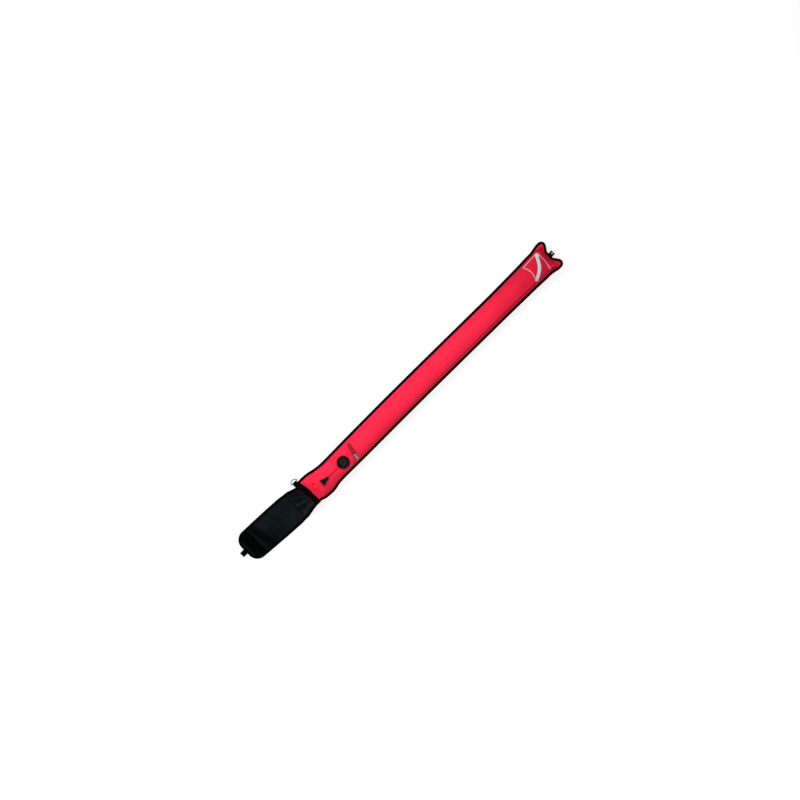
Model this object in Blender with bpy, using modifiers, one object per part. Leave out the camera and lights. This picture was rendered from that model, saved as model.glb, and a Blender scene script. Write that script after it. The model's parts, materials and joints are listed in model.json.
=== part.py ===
"""Surface marker buoy: an inflated tube with a dump valve, an oral inflation tube and a stowing wrap.

The tube lies along X, its eared top end at +X and its neck at -X, with +Z up. The origin is the
middle of the flat strip that the tube lies on. Lengths are in metres.
"""
import math

import bmesh
import bpy
from mathutils import Matrix, Vector

# Clearances
CLEAR = 0.0003            # between pieces that touch or are sewn together
FOLD_GAP = 0.0005         # between two panels that meet at a fold line

# Inflated tube
TUBE_LENGTH = 1.400       # neck seam to the notch of the top seam
TUBE_DIAMETER = 0.095     # blown up, without the seam flanges
FABRIC = 0.0008           # coated nylon
FLANGE = 0.010            # flat seam outside the chamber, under the edge tape
TAPE = 0.0008             # thickness of the edge tape
TAPE_RELIEF = 0.0010      # tape leg stops this far short of the chamber wall
REST_CUT = 0.0005         # flat underneath, where the tube lies
ARC_FACETS = 13           # facets across each half of the tube, odd so that the lowest lies flat

# Edge of the tube near its neck: distance from the neck seam, extra half width at +Y and at -Y
NECK_EDGE = (
    (-0.022, 0.0020, -0.0050),
    (-0.018, 0.0032, -0.0050),
    (-0.010, 0.0085, -0.0050),
    (-0.002, 0.0131, -0.0050),
    (0.007, 0.0134, -0.0050),
    (0.019, 0.0132, -0.0030),
    (0.029, 0.0130, 0.0014),
    (0.043, 0.0117, 0.0034),
    (0.058, 0.0090, 0.0046),
    (0.074, 0.0048, 0.0058),
    (0.092, 0.0018, 0.0038),
    (0.110, -0.0002, -0.0002),
    (0.140, -0.0008, -0.0025),
    (0.260, 0.0000, -0.0010),
    (0.400, 0.0000, 0.0000),
)
# Edge near the top: distance from the top seam, extra half width on both sides
END_EDGE = (
    (0.000, 0.0096),
    (0.014, 0.0090),
    (0.031, 0.0066),
    (0.064, 0.0054),
    (0.081, 0.0044),
    (0.114, 0.0029),
    (0.147, 0.0021),
    (0.300, 0.0000),
)
SWAY = 0.0026             # the seams pull the tube this far off a straight line
SWAY_OUT = 0.35           # share of the length where it bows out most to +Y
SWAY_BACK = 0.90          # and to -Y

# Neck
NECK_TAIL = 0.0216        # flat fabric past the neck seam, to the wrap
NECK_TAPER = 0.075        # length over which the tube rises from flat to full
NECK_ROUNDNESS = 0.8      # power that the rise follows, the smaller the rounder
GATHERS = 4               # pinched folds above the band
GATHER_HEIGHT = 0.0022
GATHER_REACH = 0.065
BAND_WIDTH = 0.026
BAND_ABOVE = 0.0065       # part of the band that lies above the neck seam
WEBBING = 0.0013          # thickness of band, tabs and ring loop

# Top end
TOP_FLAT = 0.0135         # flat fabric inside the top seam
END_TAPER = 0.090
END_ROUNDNESS = 0.6
EAR_REACH = 0.0165        # ear tips past the notch
EAR_PLACE = 0.76          # ear tips across the width, as a share of the half width
NOTCH_FLAT = 0.31         # straight middle of the top seam, as a share of the half width
EAR_DROP = 0.002
EAR_DEPTH = 0.060         # the ears pull the weave this far down

# Top tab and its eyelet
TAB_WIDTH = 0.021
TAB_REACH = 0.0187
TAB_GRIP = 0.0085         # part sewn over the end tape
TAB_SHIFT = -0.002        # off the middle of the end
TAB_SLOPE = 0.0022        # run over which a folded tab thins to two layers
EYELET_HOLE = 0.0060
EYELET_WIDTH = 0.0110
EYELET_WALL = 0.0005

# Ring at the neck and its loop
RING_SHIFT = 0.0088       # loop's middle from the middle of the band, to the wrap
RING_LOOP_WIDTH = 0.020
RING_OUT = 0.0044         # bar's distance past the end of the band
RING_LENGTH = 0.0300
RING_BOW = 0.0130
RING_WIRE = 0.0030
LOOP_GRIP = 0.012
RING_CORNER = 0.0025

# Dump valve
VALVE_FROM_NECK = 0.1884
VALVE_Y = -0.0054
VALVE_SINK = 0.0045       # the stiff flange flattens the crown by this much
DECK_RADIUS = 0.030       # flat part of the tube under the valve
DECK_BLEND = 0.022
BASE_RADIUS = 0.0265
BASE_HEIGHT = 0.0015
BASE_WALL_OUTER = 0.0246
BASE_WALL = 0.0018
BASE_DEPTH = 0.0050       # wall inside the tube
BASE_RISE = 0.0090        # wall above the deck
SEAT_INNER = 0.0185
SEAT_THICKNESS = 0.0015
SEAT_RIB_HEIGHT = 0.0010
SEAT_RIB_RADIUS = 0.0200
SEAT_RIB_WIDTH = 0.0010
SPIDER_ARMS = 3
SPIDER_ARM_WIDTH = 0.0030
SPIDER_HEIGHT = 0.0025
SPIDER_ARM_HEIGHT = 0.0020
GUIDE_RADIUS = 0.0045
STEM_RADIUS = 0.0020
SLIDE_GAP = 0.0004        # round a stem in its guide
DIAPHRAGM_RADIUS = 0.0220
DIAPHRAGM_THICKNESS = 0.0012
HUB_RADIUS = 0.0050
POPPET_RADIUS = 0.0150
POPPET_THICKNESS = 0.0017
PULL_STEM_RADIUS = 0.0016
VALVE_LIFT = 0.0030       # stroke of the poppet; its stem reaches this far below its guide
CAP_DIAMETER = 0.055
CAP_SKIRT = 0.0021
CAP_TOP = 0.0150          # above the deck
CAP_PLATE = 0.0020
CAP_SHOULDER = 0.0030     # rounding of the cap's edge
WINDOWS = 7
WINDOW_RADIUS = 0.0027
WINDOW_CIRCLE = 0.0197
WINDOW_TURN = 77.0        # degrees, where the first window stands
PORT_RADIUS = 0.0040
PORT_CIRCLE = 0.0118
PORT_BAR = 0.0010
CORD_SLOT = 0.0030
CORD_SLOT_REACH = 0.0160
SPRING_RADIUS = 0.0068
SPRING_WIRE = 0.0008
SPRING_TURNS = 4
CURL_POINTS = 9           # points in each turn of a spring

# Pull cord and knob
CORD_DIAMETER = 0.0018
KNOB_FROM_VALVE = 0.0854  # valve's axis to the narrow end of the knob
KNOB_LENGTH = 0.0390
KNOB_WIDTH = 0.0330
KNOB_FLATNESS = 0.62
KNOB_LOBES = 5
KNOB_LOBE_DEPTH = 0.14
KNOB_SEAT = 0.0006
# Route of the cord: distance from the valve's axis, height over the cap's top
CORD_RISE = ((0.0024, -0.0009), (0.0055, -0.0008), (0.0088, 0.0000), (0.0122, 0.0014), (0.0170, 0.0016),
             (0.0240, 0.0014), (0.0285, 0.0003), (0.0320, -0.0030), (0.0360, -0.0068))
# Further out: distance from the valve's axis, height over the crown
CORD_LIE = ((0.0430, 0.0022), (0.0520, 0.0014), (0.0640, 0.0015))
# Knob outline: share of its length, share of its half width
KNOB_OUTLINE = (
    (0.00, 0.20), (0.05, 0.29), (0.16, 0.33), (0.34, 0.36), (0.52, 0.46),
    (0.68, 0.66), (0.80, 0.88), (0.90, 1.00), (0.96, 0.96), (1.00, 0.80),
)

# Oral inflation tube
HOSE_FROM_NECK = 0.2555   # root of the hose
HOSE_ROOT_Y = 0.0303
HOSE_END_Y = -0.0150      # where the metal starts
HOSE_TURN = 12.0          # degrees, hose across the tube in plan
HOSE_RADIUS = 0.0066
HOSE_FLARE = 0.0080
HOSE_BALL = 0.0070        # rounded root, turning in the collar's cup
HOSE_ROUNDING = (0.25, 0.62, 0.86, 0.97)  # rings of the rounded root, as shares of its radius
HOSE_LIFT = 0.0010        # hose above the crown
COLLAR_RADIUS = 0.0105
COLLAR_HEIGHT = 0.0036
SPIGOT_RADIUS = 0.0050
SPIGOT_BORE = 0.0030
SPIGOT_DEPTH = 0.0060
NUT_RADIUS = 0.0090
NUT_HEIGHT = 0.0022

# Inflator at the hose's end
BODY_RADIUS = 0.0090
BODY_LENGTH = 0.0150
BODY_NECK_RADIUS = 0.0058
BODY_NECK = 0.0030
BODY_CHAMFER = 0.0011
BODY_GRIP = (0.55, 0.50, 0.36, 0.30)      # groove round the body, as shares of its length
PIN_RADIUS = 0.0028
PIN_BORE_DEPTH = 0.0110
PIN_PUSH = 0.0020
NIPPLE_RADIUS = 0.0042
NIPPLE_LENGTH = 0.0062
NIPPLE_GROOVE = 0.0009
NIPPLE_SHAPE = (0.62, 0.50, 0.34, 0.22)   # groove round the nipple, as shares of its length
PIN_SPRING_LENGTH = 0.0045
PIN_SPRING_WIRE = 0.0006
PIN_SPRING_TURNS = 3

# Stowing wrap
WRAP_FABRIC = 0.0008
WRAP_TAPE_WIDTH = 0.009
GATHER_PANEL = 0.0600     # from the neck's tail to the seam across the wrap
WRAP_LENGTH = 0.2800      # seam to the rounded end
WRAP_SHIFT = 0.0020       # its middle at the neck's tail, to +Y
WRAP_SKEW = 0.0585        # the wrap lies askew, sideways drift per length
WRAP_TOP_SPARE = -0.001   # width at the neck's tail, over the tube's flat width
WRAP_SEAM_SPARE = 0.021
WRAP_SPARE = 0.026
WRAP_END_SPARE = 0.020
WRAP_WIDENS = 0.12        # share of its length in which it reaches full width
WRAP_NARROWS = 0.30       # share of its length past which it narrows
WRAP_CORNER = 0.045
WRAP_GATHERS = 5
WRAP_GATHER_HEIGHT = 0.0016
WRAP_GATHER_MARGIN = 0.25 # flat next to the side tapes, as a share of the half width
PANEL_ROWS = 12
PANEL_COLUMNS = 20
TAPE_SET_BACK = 0.0018    # side tapes stop short of a fold line
STRIP_WIDTH = 0.0485
HOOK_STRIP = 0.0016
LOOP_STRIP = 0.0008
HOOK_FROM_END = 0.0182
LOOP_FROM_SEAM = 0.020
STRIP_SIDE_GAP = 0.0008
PULL_TAB_WIDTH = 0.024
PULL_TAB_REACH = 0.0220
PULL_TAB_GRIP = 0.0080

# Worked out from the sizes above
X_NECK = -TUBE_LENGTH / 2.0
X_END = TUBE_LENGTH / 2.0
X_TAIL = X_NECK - NECK_TAIL
X_BAND_TOP = X_NECK + BAND_ABOVE
X_BAND_BOTTOM = X_BAND_TOP - BAND_WIDTH
SEAM_HALF = CLEAR / 2.0 + FABRIC          # half of the two fabrics at a seam
Z_SEAM = TUBE_DIAMETER / 2.0 - REST_CUT
RADIUS = TUBE_DIAMETER / 2.0
HALF_WIDTH = RADIUS + FLANGE
WRAP_TOP_WIDTH = 2.0 * HALF_WIDTH + WRAP_TOP_SPARE
WRAP_SEAM_WIDTH = 2.0 * HALF_WIDTH + WRAP_SEAM_SPARE
WRAP_WIDTH = 2.0 * HALF_WIDTH + WRAP_SPARE
WRAP_END_WIDTH = 2.0 * HALF_WIDTH + WRAP_END_SPARE
TAPE_HALF = SEAM_HALF + CLEAR + TAPE      # half thickness of the taped edge
X_VALVE = X_NECK + VALVE_FROM_NECK
Z_DECK = Z_SEAM + RADIUS - VALVE_SINK
WRAP_TAPE_HALF = WRAP_FABRIC / 2.0 + CLEAR + TAPE
Z_WRAP = WRAP_TAPE_HALF                   # the wrap's tape lies on the ground
X_PANEL = X_TAIL - FOLD_GAP
X_SEAM = X_PANEL - GATHER_PANEL
X_WRAP = X_SEAM - FOLD_GAP
X_WRAP_END = X_WRAP - WRAP_LENGTH


def ease(value):
    """Smooth step from 0 to 1."""
    t = min(1.0, max(0.0, value))
    return t * t * (3.0 - 2.0 * t)


def through(points, x):
    """Smooth curve through (x, y) points, level past both ends."""
    if x <= points[0][0]:
        return points[0][1]
    if x >= points[-1][0]:
        return points[-1][1]
    slopes = []
    for k in range(len(points)):
        a = points[max(0, k - 1)]
        b = points[min(len(points) - 1, k + 1)]
        slopes.append((b[1] - a[1]) / (b[0] - a[0]))
    k = max(i for i in range(len(points) - 1) if points[i][0] <= x)
    (x0, y0), (x1, y1) = points[k], points[k + 1]
    h = x1 - x0
    t = (x - x0) / h
    return ((1 + 2 * t) * (1 - t) ** 2 * y0 + t * (1 - t) ** 2 * h * slopes[k]
            + t * t * (3 - 2 * t) * y1 + t * t * (t - 1) * h * slopes[k + 1])


# Scene, materials and links

def clear_scene():
    """Remove what the file holds."""
    for old in list(bpy.data.objects):
        bpy.data.objects.remove(old, do_unlink=True)


def new_collection(name):
    """Collection under the scene."""
    made = bpy.data.collections.new(name)
    bpy.context.scene.collection.children.link(made)
    return made


def new_material(name, colour, roughness, metallic=0.0):
    """Plain Principled material."""
    made = bpy.data.materials.new(name)
    made.use_nodes = True
    shader = made.node_tree.nodes["Principled BSDF"]
    shader.inputs["Base Color"].default_value = (*colour, 1.0)
    shader.inputs["Roughness"].default_value = roughness
    shader.inputs["Metallic"].default_value = metallic
    made.diffuse_color = (*colour, 1.0)
    return made


def link(obj, kind=None, parent=None):
    """Put an object in the parts, or in the cutters where it has no material."""
    if kind is None:
        CUTTERS.objects.link(obj)
        obj.hide_render = True
        obj.display_type = 'WIRE'
    else:
        PARTS.objects.link(obj)
        obj.data.materials.clear()
        colour, roughness, metallic = FINISHES[kind]
        obj.data.materials.append(new_material(obj.name, colour, roughness, metallic))
    obj.parent = parent
    return obj


def empty(name, location, turn=None):
    """Frame that a sub-assembly hangs on."""
    frame = bpy.data.objects.new(name, None)
    frame.location = location
    if turn is not None:
        frame.rotation_euler = turn.to_euler()
    CUTTERS.objects.link(frame)
    frame.hide_render = True
    return frame


def smooth(mesh, angle=35.0):
    """Smooth shading with sharp edges past an angle."""
    mesh.shade_smooth()
    mesh.set_sharp_from_angle(angle=math.radians(angle))


def from_bmesh(name, bm, kind=None, parent=None, location=(0, 0, 0), angle=35.0):
    """Object from a bmesh."""
    mesh = bpy.data.meshes.new(name)
    bm.to_mesh(mesh)
    bm.free()
    smooth(mesh, angle)
    obj = bpy.data.objects.new(name, mesh)
    obj.location = location
    return link(obj, kind, parent)


# Solids

def box(name, size, location, kind=None, parent=None):
    """Box with its middle at a place."""
    bm = bmesh.new()
    bmesh.ops.create_cube(bm, size=1.0)
    bmesh.ops.scale(bm, vec=size, verts=bm.verts)
    return from_bmesh(name, bm, kind, parent, location)


def cylinder(name, radius, depth, location, segments=32, parent=None):
    """Upright round cutter with its middle at a place."""
    bm = bmesh.new()
    bmesh.ops.create_cone(bm, cap_ends=True, segments=segments, radius1=radius, radius2=radius, depth=depth)
    return from_bmesh(name, bm, None, parent, location)


def turned(name, profile, kind, parent=None, location=(0, 0, 0), steps=40, closed=True):
    """Screw a (radius, height) profile round Z; it runs down its outer side first."""
    mesh = bpy.data.meshes.new(name)
    count = len(profile)
    edges = [(i, i + 1) for i in range(count - 1)]
    if closed:
        edges.append((count - 1, 0))
    mesh.from_pydata([(r, 0.0, z) for r, z in profile], edges, [])
    obj = bpy.data.objects.new(name, mesh)
    obj.location = location
    screw = obj.modifiers.new("turn", 'SCREW')
    screw.axis = 'Z'
    screw.steps = steps
    screw.render_steps = steps
    screw.use_merge_vertices = True
    screw.merge_threshold = 0.00001
    screw.use_smooth_shade = True
    return link(obj, kind, parent)


def cut(obj, cutter, operation='DIFFERENCE'):
    """Exact Boolean with a cutter."""
    modifier = obj.modifiers.new(cutter.name, 'BOOLEAN')
    modifier.object = cutter
    modifier.operation = operation
    modifier.solver = 'EXACT'
    return obj


def outline(name, loops, thickness, kind=None, parent=None, location=(0, 0, 0), turn=None):
    """Plate of a flat outline; the first loop is the edge, the others are holes."""
    curve = bpy.data.curves.new(name, 'CURVE')
    curve.dimensions = '2D'
    curve.fill_mode = 'BOTH'
    curve.extrude = thickness / 2.0
    for loop in loops:
        spline = curve.splines.new('POLY')
        spline.points.add(len(loop) - 1)
        for point, (x, y) in zip(spline.points, loop):
            point.co = (x, y, 0.0, 1.0)
        spline.use_cyclic_u = True
    obj = bpy.data.objects.new(name, curve)
    obj.location = location
    if turn is not None:
        obj.rotation_euler = turn.to_euler()
    return link(obj, kind, parent)


def wire(name, points, diameter, kind, parent=None, closed=False, resolution=2, location=(0, 0, 0)):
    """Round wire or cord through points."""
    curve = bpy.data.curves.new(name, 'CURVE')
    curve.dimensions = '3D'
    curve.bevel_depth = diameter / 2.0
    curve.bevel_resolution = resolution
    curve.use_fill_caps = True
    spline = curve.splines.new('POLY')
    spline.points.add(len(points) - 1)
    for point, place in zip(spline.points, points):
        point.co = (*place, 1.0)
    spline.use_cyclic_u = closed
    obj = bpy.data.objects.new(name, curve)
    obj.location = location
    return link(obj, kind, parent)


def as_mesh(obj):
    """Turn a curve object into a welded mesh object of the same name, so that it can be cut."""
    graph = bpy.context.evaluated_depsgraph_get()
    mesh = bpy.data.meshes.new_from_object(obj.evaluated_get(graph))
    bm = bmesh.new()
    bm.from_mesh(mesh)
    bmesh.ops.remove_doubles(bm, verts=bm.verts, dist=0.000001)
    bm.to_mesh(mesh)
    bm.free()
    name = obj.name
    parent = obj.parent
    home = obj.users_collection[0]
    place = obj.matrix_world.copy()
    material = obj.data.materials[0] if obj.data.materials else None
    bpy.data.objects.remove(obj, do_unlink=True)
    made = bpy.data.objects.new(name, mesh)
    home.objects.link(made)
    made.parent = parent
    made.matrix_world = place
    if material is not None:
        mesh.materials.clear()
        mesh.materials.append(material)
    else:
        made.hide_render = True
        made.display_type = 'WIRE'
    return made


def sheet(name, rows, columns, place, thickness, kind, outward):
    """Fabric over a grid: place(i, j) gives its outer face, and the wall goes inwards."""
    bm = bmesh.new()
    bmesh.ops.create_grid(bm, x_segments=rows, y_segments=columns, size=1.0)
    for vert in bm.verts:
        i = round((vert.co.x + 1.0) / 2.0 * rows)
        j = round((vert.co.y + 1.0) / 2.0 * columns)
        vert.co = place(i, j)
    obj = from_bmesh(name, bm, kind, angle=60.0)
    wall = obj.modifiers.new("fabric", 'SOLIDIFY')
    wall.thickness = thickness
    wall.offset = -1.0 if outward > 0 else 1.0
    return obj


def loft(name, rings, kind, parent=None, location=(0, 0, 0), closed=False):
    """Skin over rings of points; open lofts get an end face at both ends."""
    bm = bmesh.new()
    made = [[bm.verts.new(point) for point in ring] for ring in rings]
    count = len(rings[0])
    last = len(made) if closed else len(made) - 1
    for k in range(last):
        low, high = made[k], made[(k + 1) % len(made)]
        for j in range(count):
            n = (j + 1) % count
            bm.faces.new((low[j], low[n], high[n], high[j]))
    if not closed:
        bm.faces.new(list(reversed(made[0])))
        bm.faces.new(made[-1])
    bmesh.ops.recalc_face_normals(bm, faces=bm.faces)
    return from_bmesh(name, bm, kind, parent, location)


def edge_tape(name, path, normals, half, width, kind):
    """U-shaped tape folded over a fabric edge, mitred at every point of the path.

    The fabric lies to the left of the path, seen with the normal towards the eye.
    """
    inner = half + CLEAR
    outer = inner + TAPE
    profile = ((-CLEAR - TAPE, -outer), (width, -outer), (width, -inner), (-CLEAR, -inner),
               (-CLEAR, inner), (width, inner), (width, outer), (-CLEAR - TAPE, outer))
    rings = []
    for k, point in enumerate(path):
        before = point - path[k - 1] if k else path[1] - path[0]
        after = path[k + 1] - point if k + 1 < len(path) else before
        normal = normals[k].normalized()
        side_a = normal.cross(before).normalized()
        side_b = normal.cross(after).normalized()
        mitre = (side_a + side_b) / (1.0 + side_a.dot(side_b))
        rings.append([point + mitre * w + normal * n for w, n in profile])
    return loft(name, rings, kind)


def arc(centre, radius, start, end, steps):
    """Points of a flat arc, angles in degrees."""
    angles = [math.radians(start + (end - start) * k / steps) for k in range(steps + 1)]
    return [(centre[0] + radius * math.cos(a), centre[1] + radius * math.sin(a)) for a in angles]


# Shape of the inflated tube

def edge_y(x, side):
    """Fabric edge of the tube at a station, on its +Y (1) or -Y (-1) side."""
    from_neck = x - X_NECK
    column = 1 if side > 0 else 2
    extra = through([(row[0], row[column]) for row in NECK_EDGE], from_neck)
    extra += through(END_EDGE, X_END - x)
    out = SWAY_OUT * TUBE_LENGTH
    back = SWAY_BACK * TUBE_LENGTH
    sway = SWAY * (ease(from_neck / out) - 2.0 * ease((from_neck - out) / (back - out)))
    return sway + side * (HALF_WIDTH + extra)


def wall_y(x, side):
    """Where the chamber starts at a station, a flange's width square to the edge."""
    step = 0.005
    slope = (edge_y(x + step, side) - edge_y(x - step, side)) / (2.0 * step)
    return edge_y(x, side) - side * FLANGE * math.sqrt(1.0 + slope * slope)


def section(x):
    """Middle, chamber half width and height of one half of the tube at a station."""
    low = wall_y(x, -1)
    high = wall_y(x, 1)
    neck = min(1.0, max(0.0, (x - X_BAND_TOP) / NECK_TAPER))
    end = min(1.0, max(0.0, (X_END - TOP_FLAT - x) / END_TAPER))
    rise = math.sin(math.pi / 2.0 * neck) ** NECK_ROUNDNESS * (1.0 - (1.0 - end) ** 2) ** END_ROUNDNESS
    return (low + high) / 2.0, (high - low) / 2.0, rise * (RADIUS - SEAM_HALF)


def ear(across):
    """How far the top seam runs past its notch, at a share of the half width."""
    v = abs(across)
    if v <= EAR_PLACE:
        q = max(0.0, (v - NOTCH_FLAT) / (EAR_PLACE - NOTCH_FLAT))
        return EAR_REACH * (1.0 - math.cos(math.pi * q)) / 2.0
    q = min(1.0, (v - EAR_PLACE) / (1.0 - EAR_PLACE))
    return EAR_REACH - (EAR_REACH + EAR_DROP) * (1.0 - math.sqrt(1.0 - q * q))


def gather(x, across):
    """Height of the pinched folds above the band."""
    u = (x - X_BAND_TOP) / GATHER_REACH
    if u <= 0.0 or u >= 1.0:
        return 0.0
    wave = 0.5 + 0.5 * math.cos(2.0 * math.pi * GATHERS * across / 2.0)
    return GATHER_HEIGHT * math.sin(math.pi * u ** 0.6) * wave * (1.0 - across * across)


def on_deck(x, y, z):
    """Height of the crown once the valve's stiff flange has flattened it."""
    away = math.hypot(x - X_VALVE, y - VALVE_Y)
    share = ease((DECK_RADIUS + DECK_BLEND - away) / DECK_BLEND)
    share *= ease(2.0 * (z - Z_SEAM - SEAM_HALF) / RADIUS)
    return z + (Z_DECK - z) * share


def crown(x, y):
    """Height of the top of the tube."""
    middle, half, height = section(x)
    across = min(1.0, abs(y - middle) / half)
    return on_deck(x, y, Z_SEAM + SEAM_HALF + height * math.sqrt(1.0 - across * across))


def stations():
    """Rows of the tube's fabric from tail to top, close where its shape changes."""
    neck = [X_TAIL, X_BAND_BOTTOM, X_BAND_TOP]
    neck += [X_BAND_TOP + d for d in (0.008, 0.017, 0.028, 0.042, 0.057, 0.073, 0.093)]
    valve = [X_VALVE + d for d in (-0.056, -0.043, -0.030, -0.015, 0.0, 0.015, 0.030, 0.043, 0.056)]
    valve += [X_VALVE + DECK_RADIUS + DECK_BLEND + 0.040]
    top = [X_END - d for d in (0.310, 0.140, 0.108, 0.086, 0.066, 0.050, 0.037, 0.027, 0.019, TOP_FLAT, 0.0)]
    start = valve[-1]
    span = top[0] - start
    main = [start + span * k / 4.0 for k in (1, 2, 3)]
    return neck + valve + main + top


def tube_point(rows, i, j, side):
    """Outer face of the tube's upper (1) or lower (-1) half at a row and column."""
    x = rows[i]
    middle, half, height = section(x)
    if j == 0 or j == ARC_FACETS + 2:
        y = edge_y(x, -1 if j == 0 else 1)
        up = 0.0
    else:
        angle = math.pi * ((j - 1) / ARC_FACETS - 0.5)
        y = middle + half * math.sin(angle)
        up = math.cos(angle) * height + gather(x, math.sin(angle))
    across = 2.0 * (y - edge_y(x, -1)) / (edge_y(x, 1) - edge_y(x, -1)) - 1.0
    pull = max(0.0, 1.0 - (X_END - x) / EAR_DEPTH) ** 2
    z = Z_SEAM + side * (SEAM_HALF + up)
    if side > 0:
        z = on_deck(x, y, z)
    return Vector((x + ear(across) * pull, y, z))


def make_tube():
    """Both halves of the inflated tube and the tape round their edge."""
    rows = stations()
    count = len(rows) - 1
    last = ARC_FACETS + 2
    upper = sheet("front_panel", count, last, lambda i, j: tube_point(rows, i, j, 1), FABRIC, "red", 1)
    lower = sheet("back_panel", count, last, lambda i, j: tube_point(rows, i, j, -1), FABRIC, "red", -1)
    cut(upper, cylinder("valve_hole", BASE_WALL_OUTER + FOLD_GAP, RADIUS, (X_VALVE, VALVE_Y, Z_DECK)))
    hole = cylinder("hose_hole", SPIGOT_RADIUS + FOLD_GAP, 2.0 * SPIGOT_DEPTH, (0, 0, 0), 24)
    hole.matrix_world = hose_root_frame() @ Matrix.Translation((0, 0, -HOSE_BALL - HOSE_LIFT))
    cut(upper, hole)
    cut(lower, box("rest_cut", (TUBE_LENGTH, TUBE_DIAMETER, RADIUS), (0, 0, -RADIUS / 2.0)))
    path = [tube_point(rows, i, 0, 1) for i in range(count + 1)]
    path += [tube_point(rows, count, j, 1) for j in range(1, last)]
    path += [tube_point(rows, i, last, 1) for i in range(count, -1, -1)]
    path = [Vector((p.x, p.y, Z_SEAM)) for p in path]
    up = [Vector((0, 0, 1))] * len(path)
    edge_tape("edge_binding", path, up, SEAM_HALF, FLANGE - TAPE_RELIEF, "tape")


# Neck band, tabs and ring

ACROSS = Matrix(((0, 0, 1), (1, 0, 0), (0, 1, 0)))     # outline in YZ, thickness along X
ALONG = Matrix(((1, 0, 0), (0, 0, -1), (0, 1, 0)))     # outline in XZ, thickness along Y


def band_side(side):
    """Outer face of the band at one side of the neck."""
    return edge_y(X_NECK, side) + side * (2.0 * CLEAR + TAPE + WEBBING)


def make_band():
    """Webbing sewn round the flat neck."""
    low, high = band_side(-1), band_side(1)
    half = TAPE_HALF + CLEAR + WEBBING
    outer = [(low, -half), (high, -half), (high, half), (low, half)]
    inner = [(y + (WEBBING if y < 0 else -WEBBING), z + (WEBBING if z < 0 else -WEBBING)) for y, z in outer]
    middle = (X_BAND_TOP + X_BAND_BOTTOM) / 2.0
    outline("neck_band", [outer, inner], BAND_WIDTH, "webbing", None, (middle, 0, Z_SEAM), ACROSS)


def folded_tab(grip, reach, stack):
    """Side view of webbing folded over a stack that ends at 0, running out to +reach."""
    inner = stack + CLEAR
    outer = inner + WEBBING
    thin = CLEAR + WEBBING + TAB_SLOPE
    half = [(-grip, inner), (CLEAR, inner)]
    rim = [(reach, WEBBING), (thin, WEBBING), (CLEAR + WEBBING, outer), (-grip, outer)]
    return ([(x, -z) for x, z in half] + [(x, z) for x, z in reversed(half)]
            + list(reversed(rim)) + [(x, -z) for x, z in rim])


def make_top_tab():
    """Webbing tab on the top seam with its eyelet."""
    edge = X_END + CLEAR + TAPE
    y = section(X_END)[0] + TAB_SHIFT
    shape = folded_tab(TAB_GRIP, TAB_REACH - CLEAR - TAPE, TAPE_HALF)
    tab = as_mesh(outline("top_tab", [shape], TAB_WIDTH, "webbing", None, (edge, y, Z_SEAM), ALONG))
    flat = CLEAR + WEBBING + TAB_SLOPE
    middle = (edge + (flat + TAB_REACH - CLEAR - TAPE) / 2.0, y, Z_SEAM)
    hole = EYELET_HOLE / 2.0
    barrel = hole + EYELET_WALL
    cut(tab, cylinder("eyelet_hole", barrel + CLEAR, 4.0 * WEBBING, middle))
    rim = EYELET_WIDTH / 2.0
    face = WEBBING + CLEAR
    top = face + EYELET_WALL
    profile = [(rim, top), (rim, face), (barrel, face), (barrel, -face), (rim, -face), (rim, -top),
               (hole, -top), (hole, top)]
    turned("top_eyelet", profile, "steel", None, middle, 20)


def make_ring():
    """Ring at the side of the neck, and the webbing loop that holds it."""
    edge = band_side(1)
    x = (X_BAND_TOP + X_BAND_BOTTOM) / 2.0 - RING_SHIFT
    stack = TAPE_HALF + CLEAR + WEBBING
    inner = stack + CLEAR
    outer = inner + WEBBING
    loop = RING_WIRE / 2.0 + CLEAR + WEBBING
    side = [(-LOOP_GRIP, inner), (CLEAR, inner)]
    rim = [(-LOOP_GRIP, outer), (CLEAR + WEBBING, outer)]
    shape = ([(y, -z) for y, z in reversed(rim)] + [(y, -z) for y, z in side]
             + [(y, z) for y, z in reversed(side)] + rim + arc((RING_OUT, 0.0), loop, 90, -90, 10))
    hole = arc((RING_OUT, 0.0), RING_WIRE / 2.0 + CLEAR, 0, 345, 23)
    outline("ring_webbing", [shape, hole], RING_LOOP_WIDTH, "webbing", None, (x, edge, Z_SEAM), ACROSS)
    frame = empty("ring_axis", (x, edge + RING_OUT, Z_SEAM))
    half = RING_LENGTH / 2.0
    r = RING_CORNER
    points = arc((half - r, r), r, -90, 0, 3)
    points += [(half * math.cos(a), r + (RING_BOW - r) * math.sin(a))
               for a in (math.pi * k / 14.0 for k in range(1, 14))]
    points += arc((r - half, r), r, 180, 270, 3)
    wire("d_ring", [(px, py, 0.0) for px, py in points], RING_WIRE, "steel", frame, closed=True)


# Dump valve

def helix(radius, low, high, turns):
    """Points of a spring between two heights."""
    count = turns * CURL_POINTS
    angles = [2.0 * math.pi * k / CURL_POINTS for k in range(count + 1)]
    return [(radius * math.cos(a), radius * math.sin(a), low + (high - low) * k / count)
            for k, a in enumerate(angles)]


def report_gap(name, points, diameter):
    """Print the least gap of a spring to itself."""
    least = min((Vector(a) - Vector(b)).length for k, a in enumerate(points)
                for b in points[k + CURL_POINTS - 1:]) - diameter
    print(f"{name}: least gap to itself {least * 1000:.2f} mm")


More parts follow.
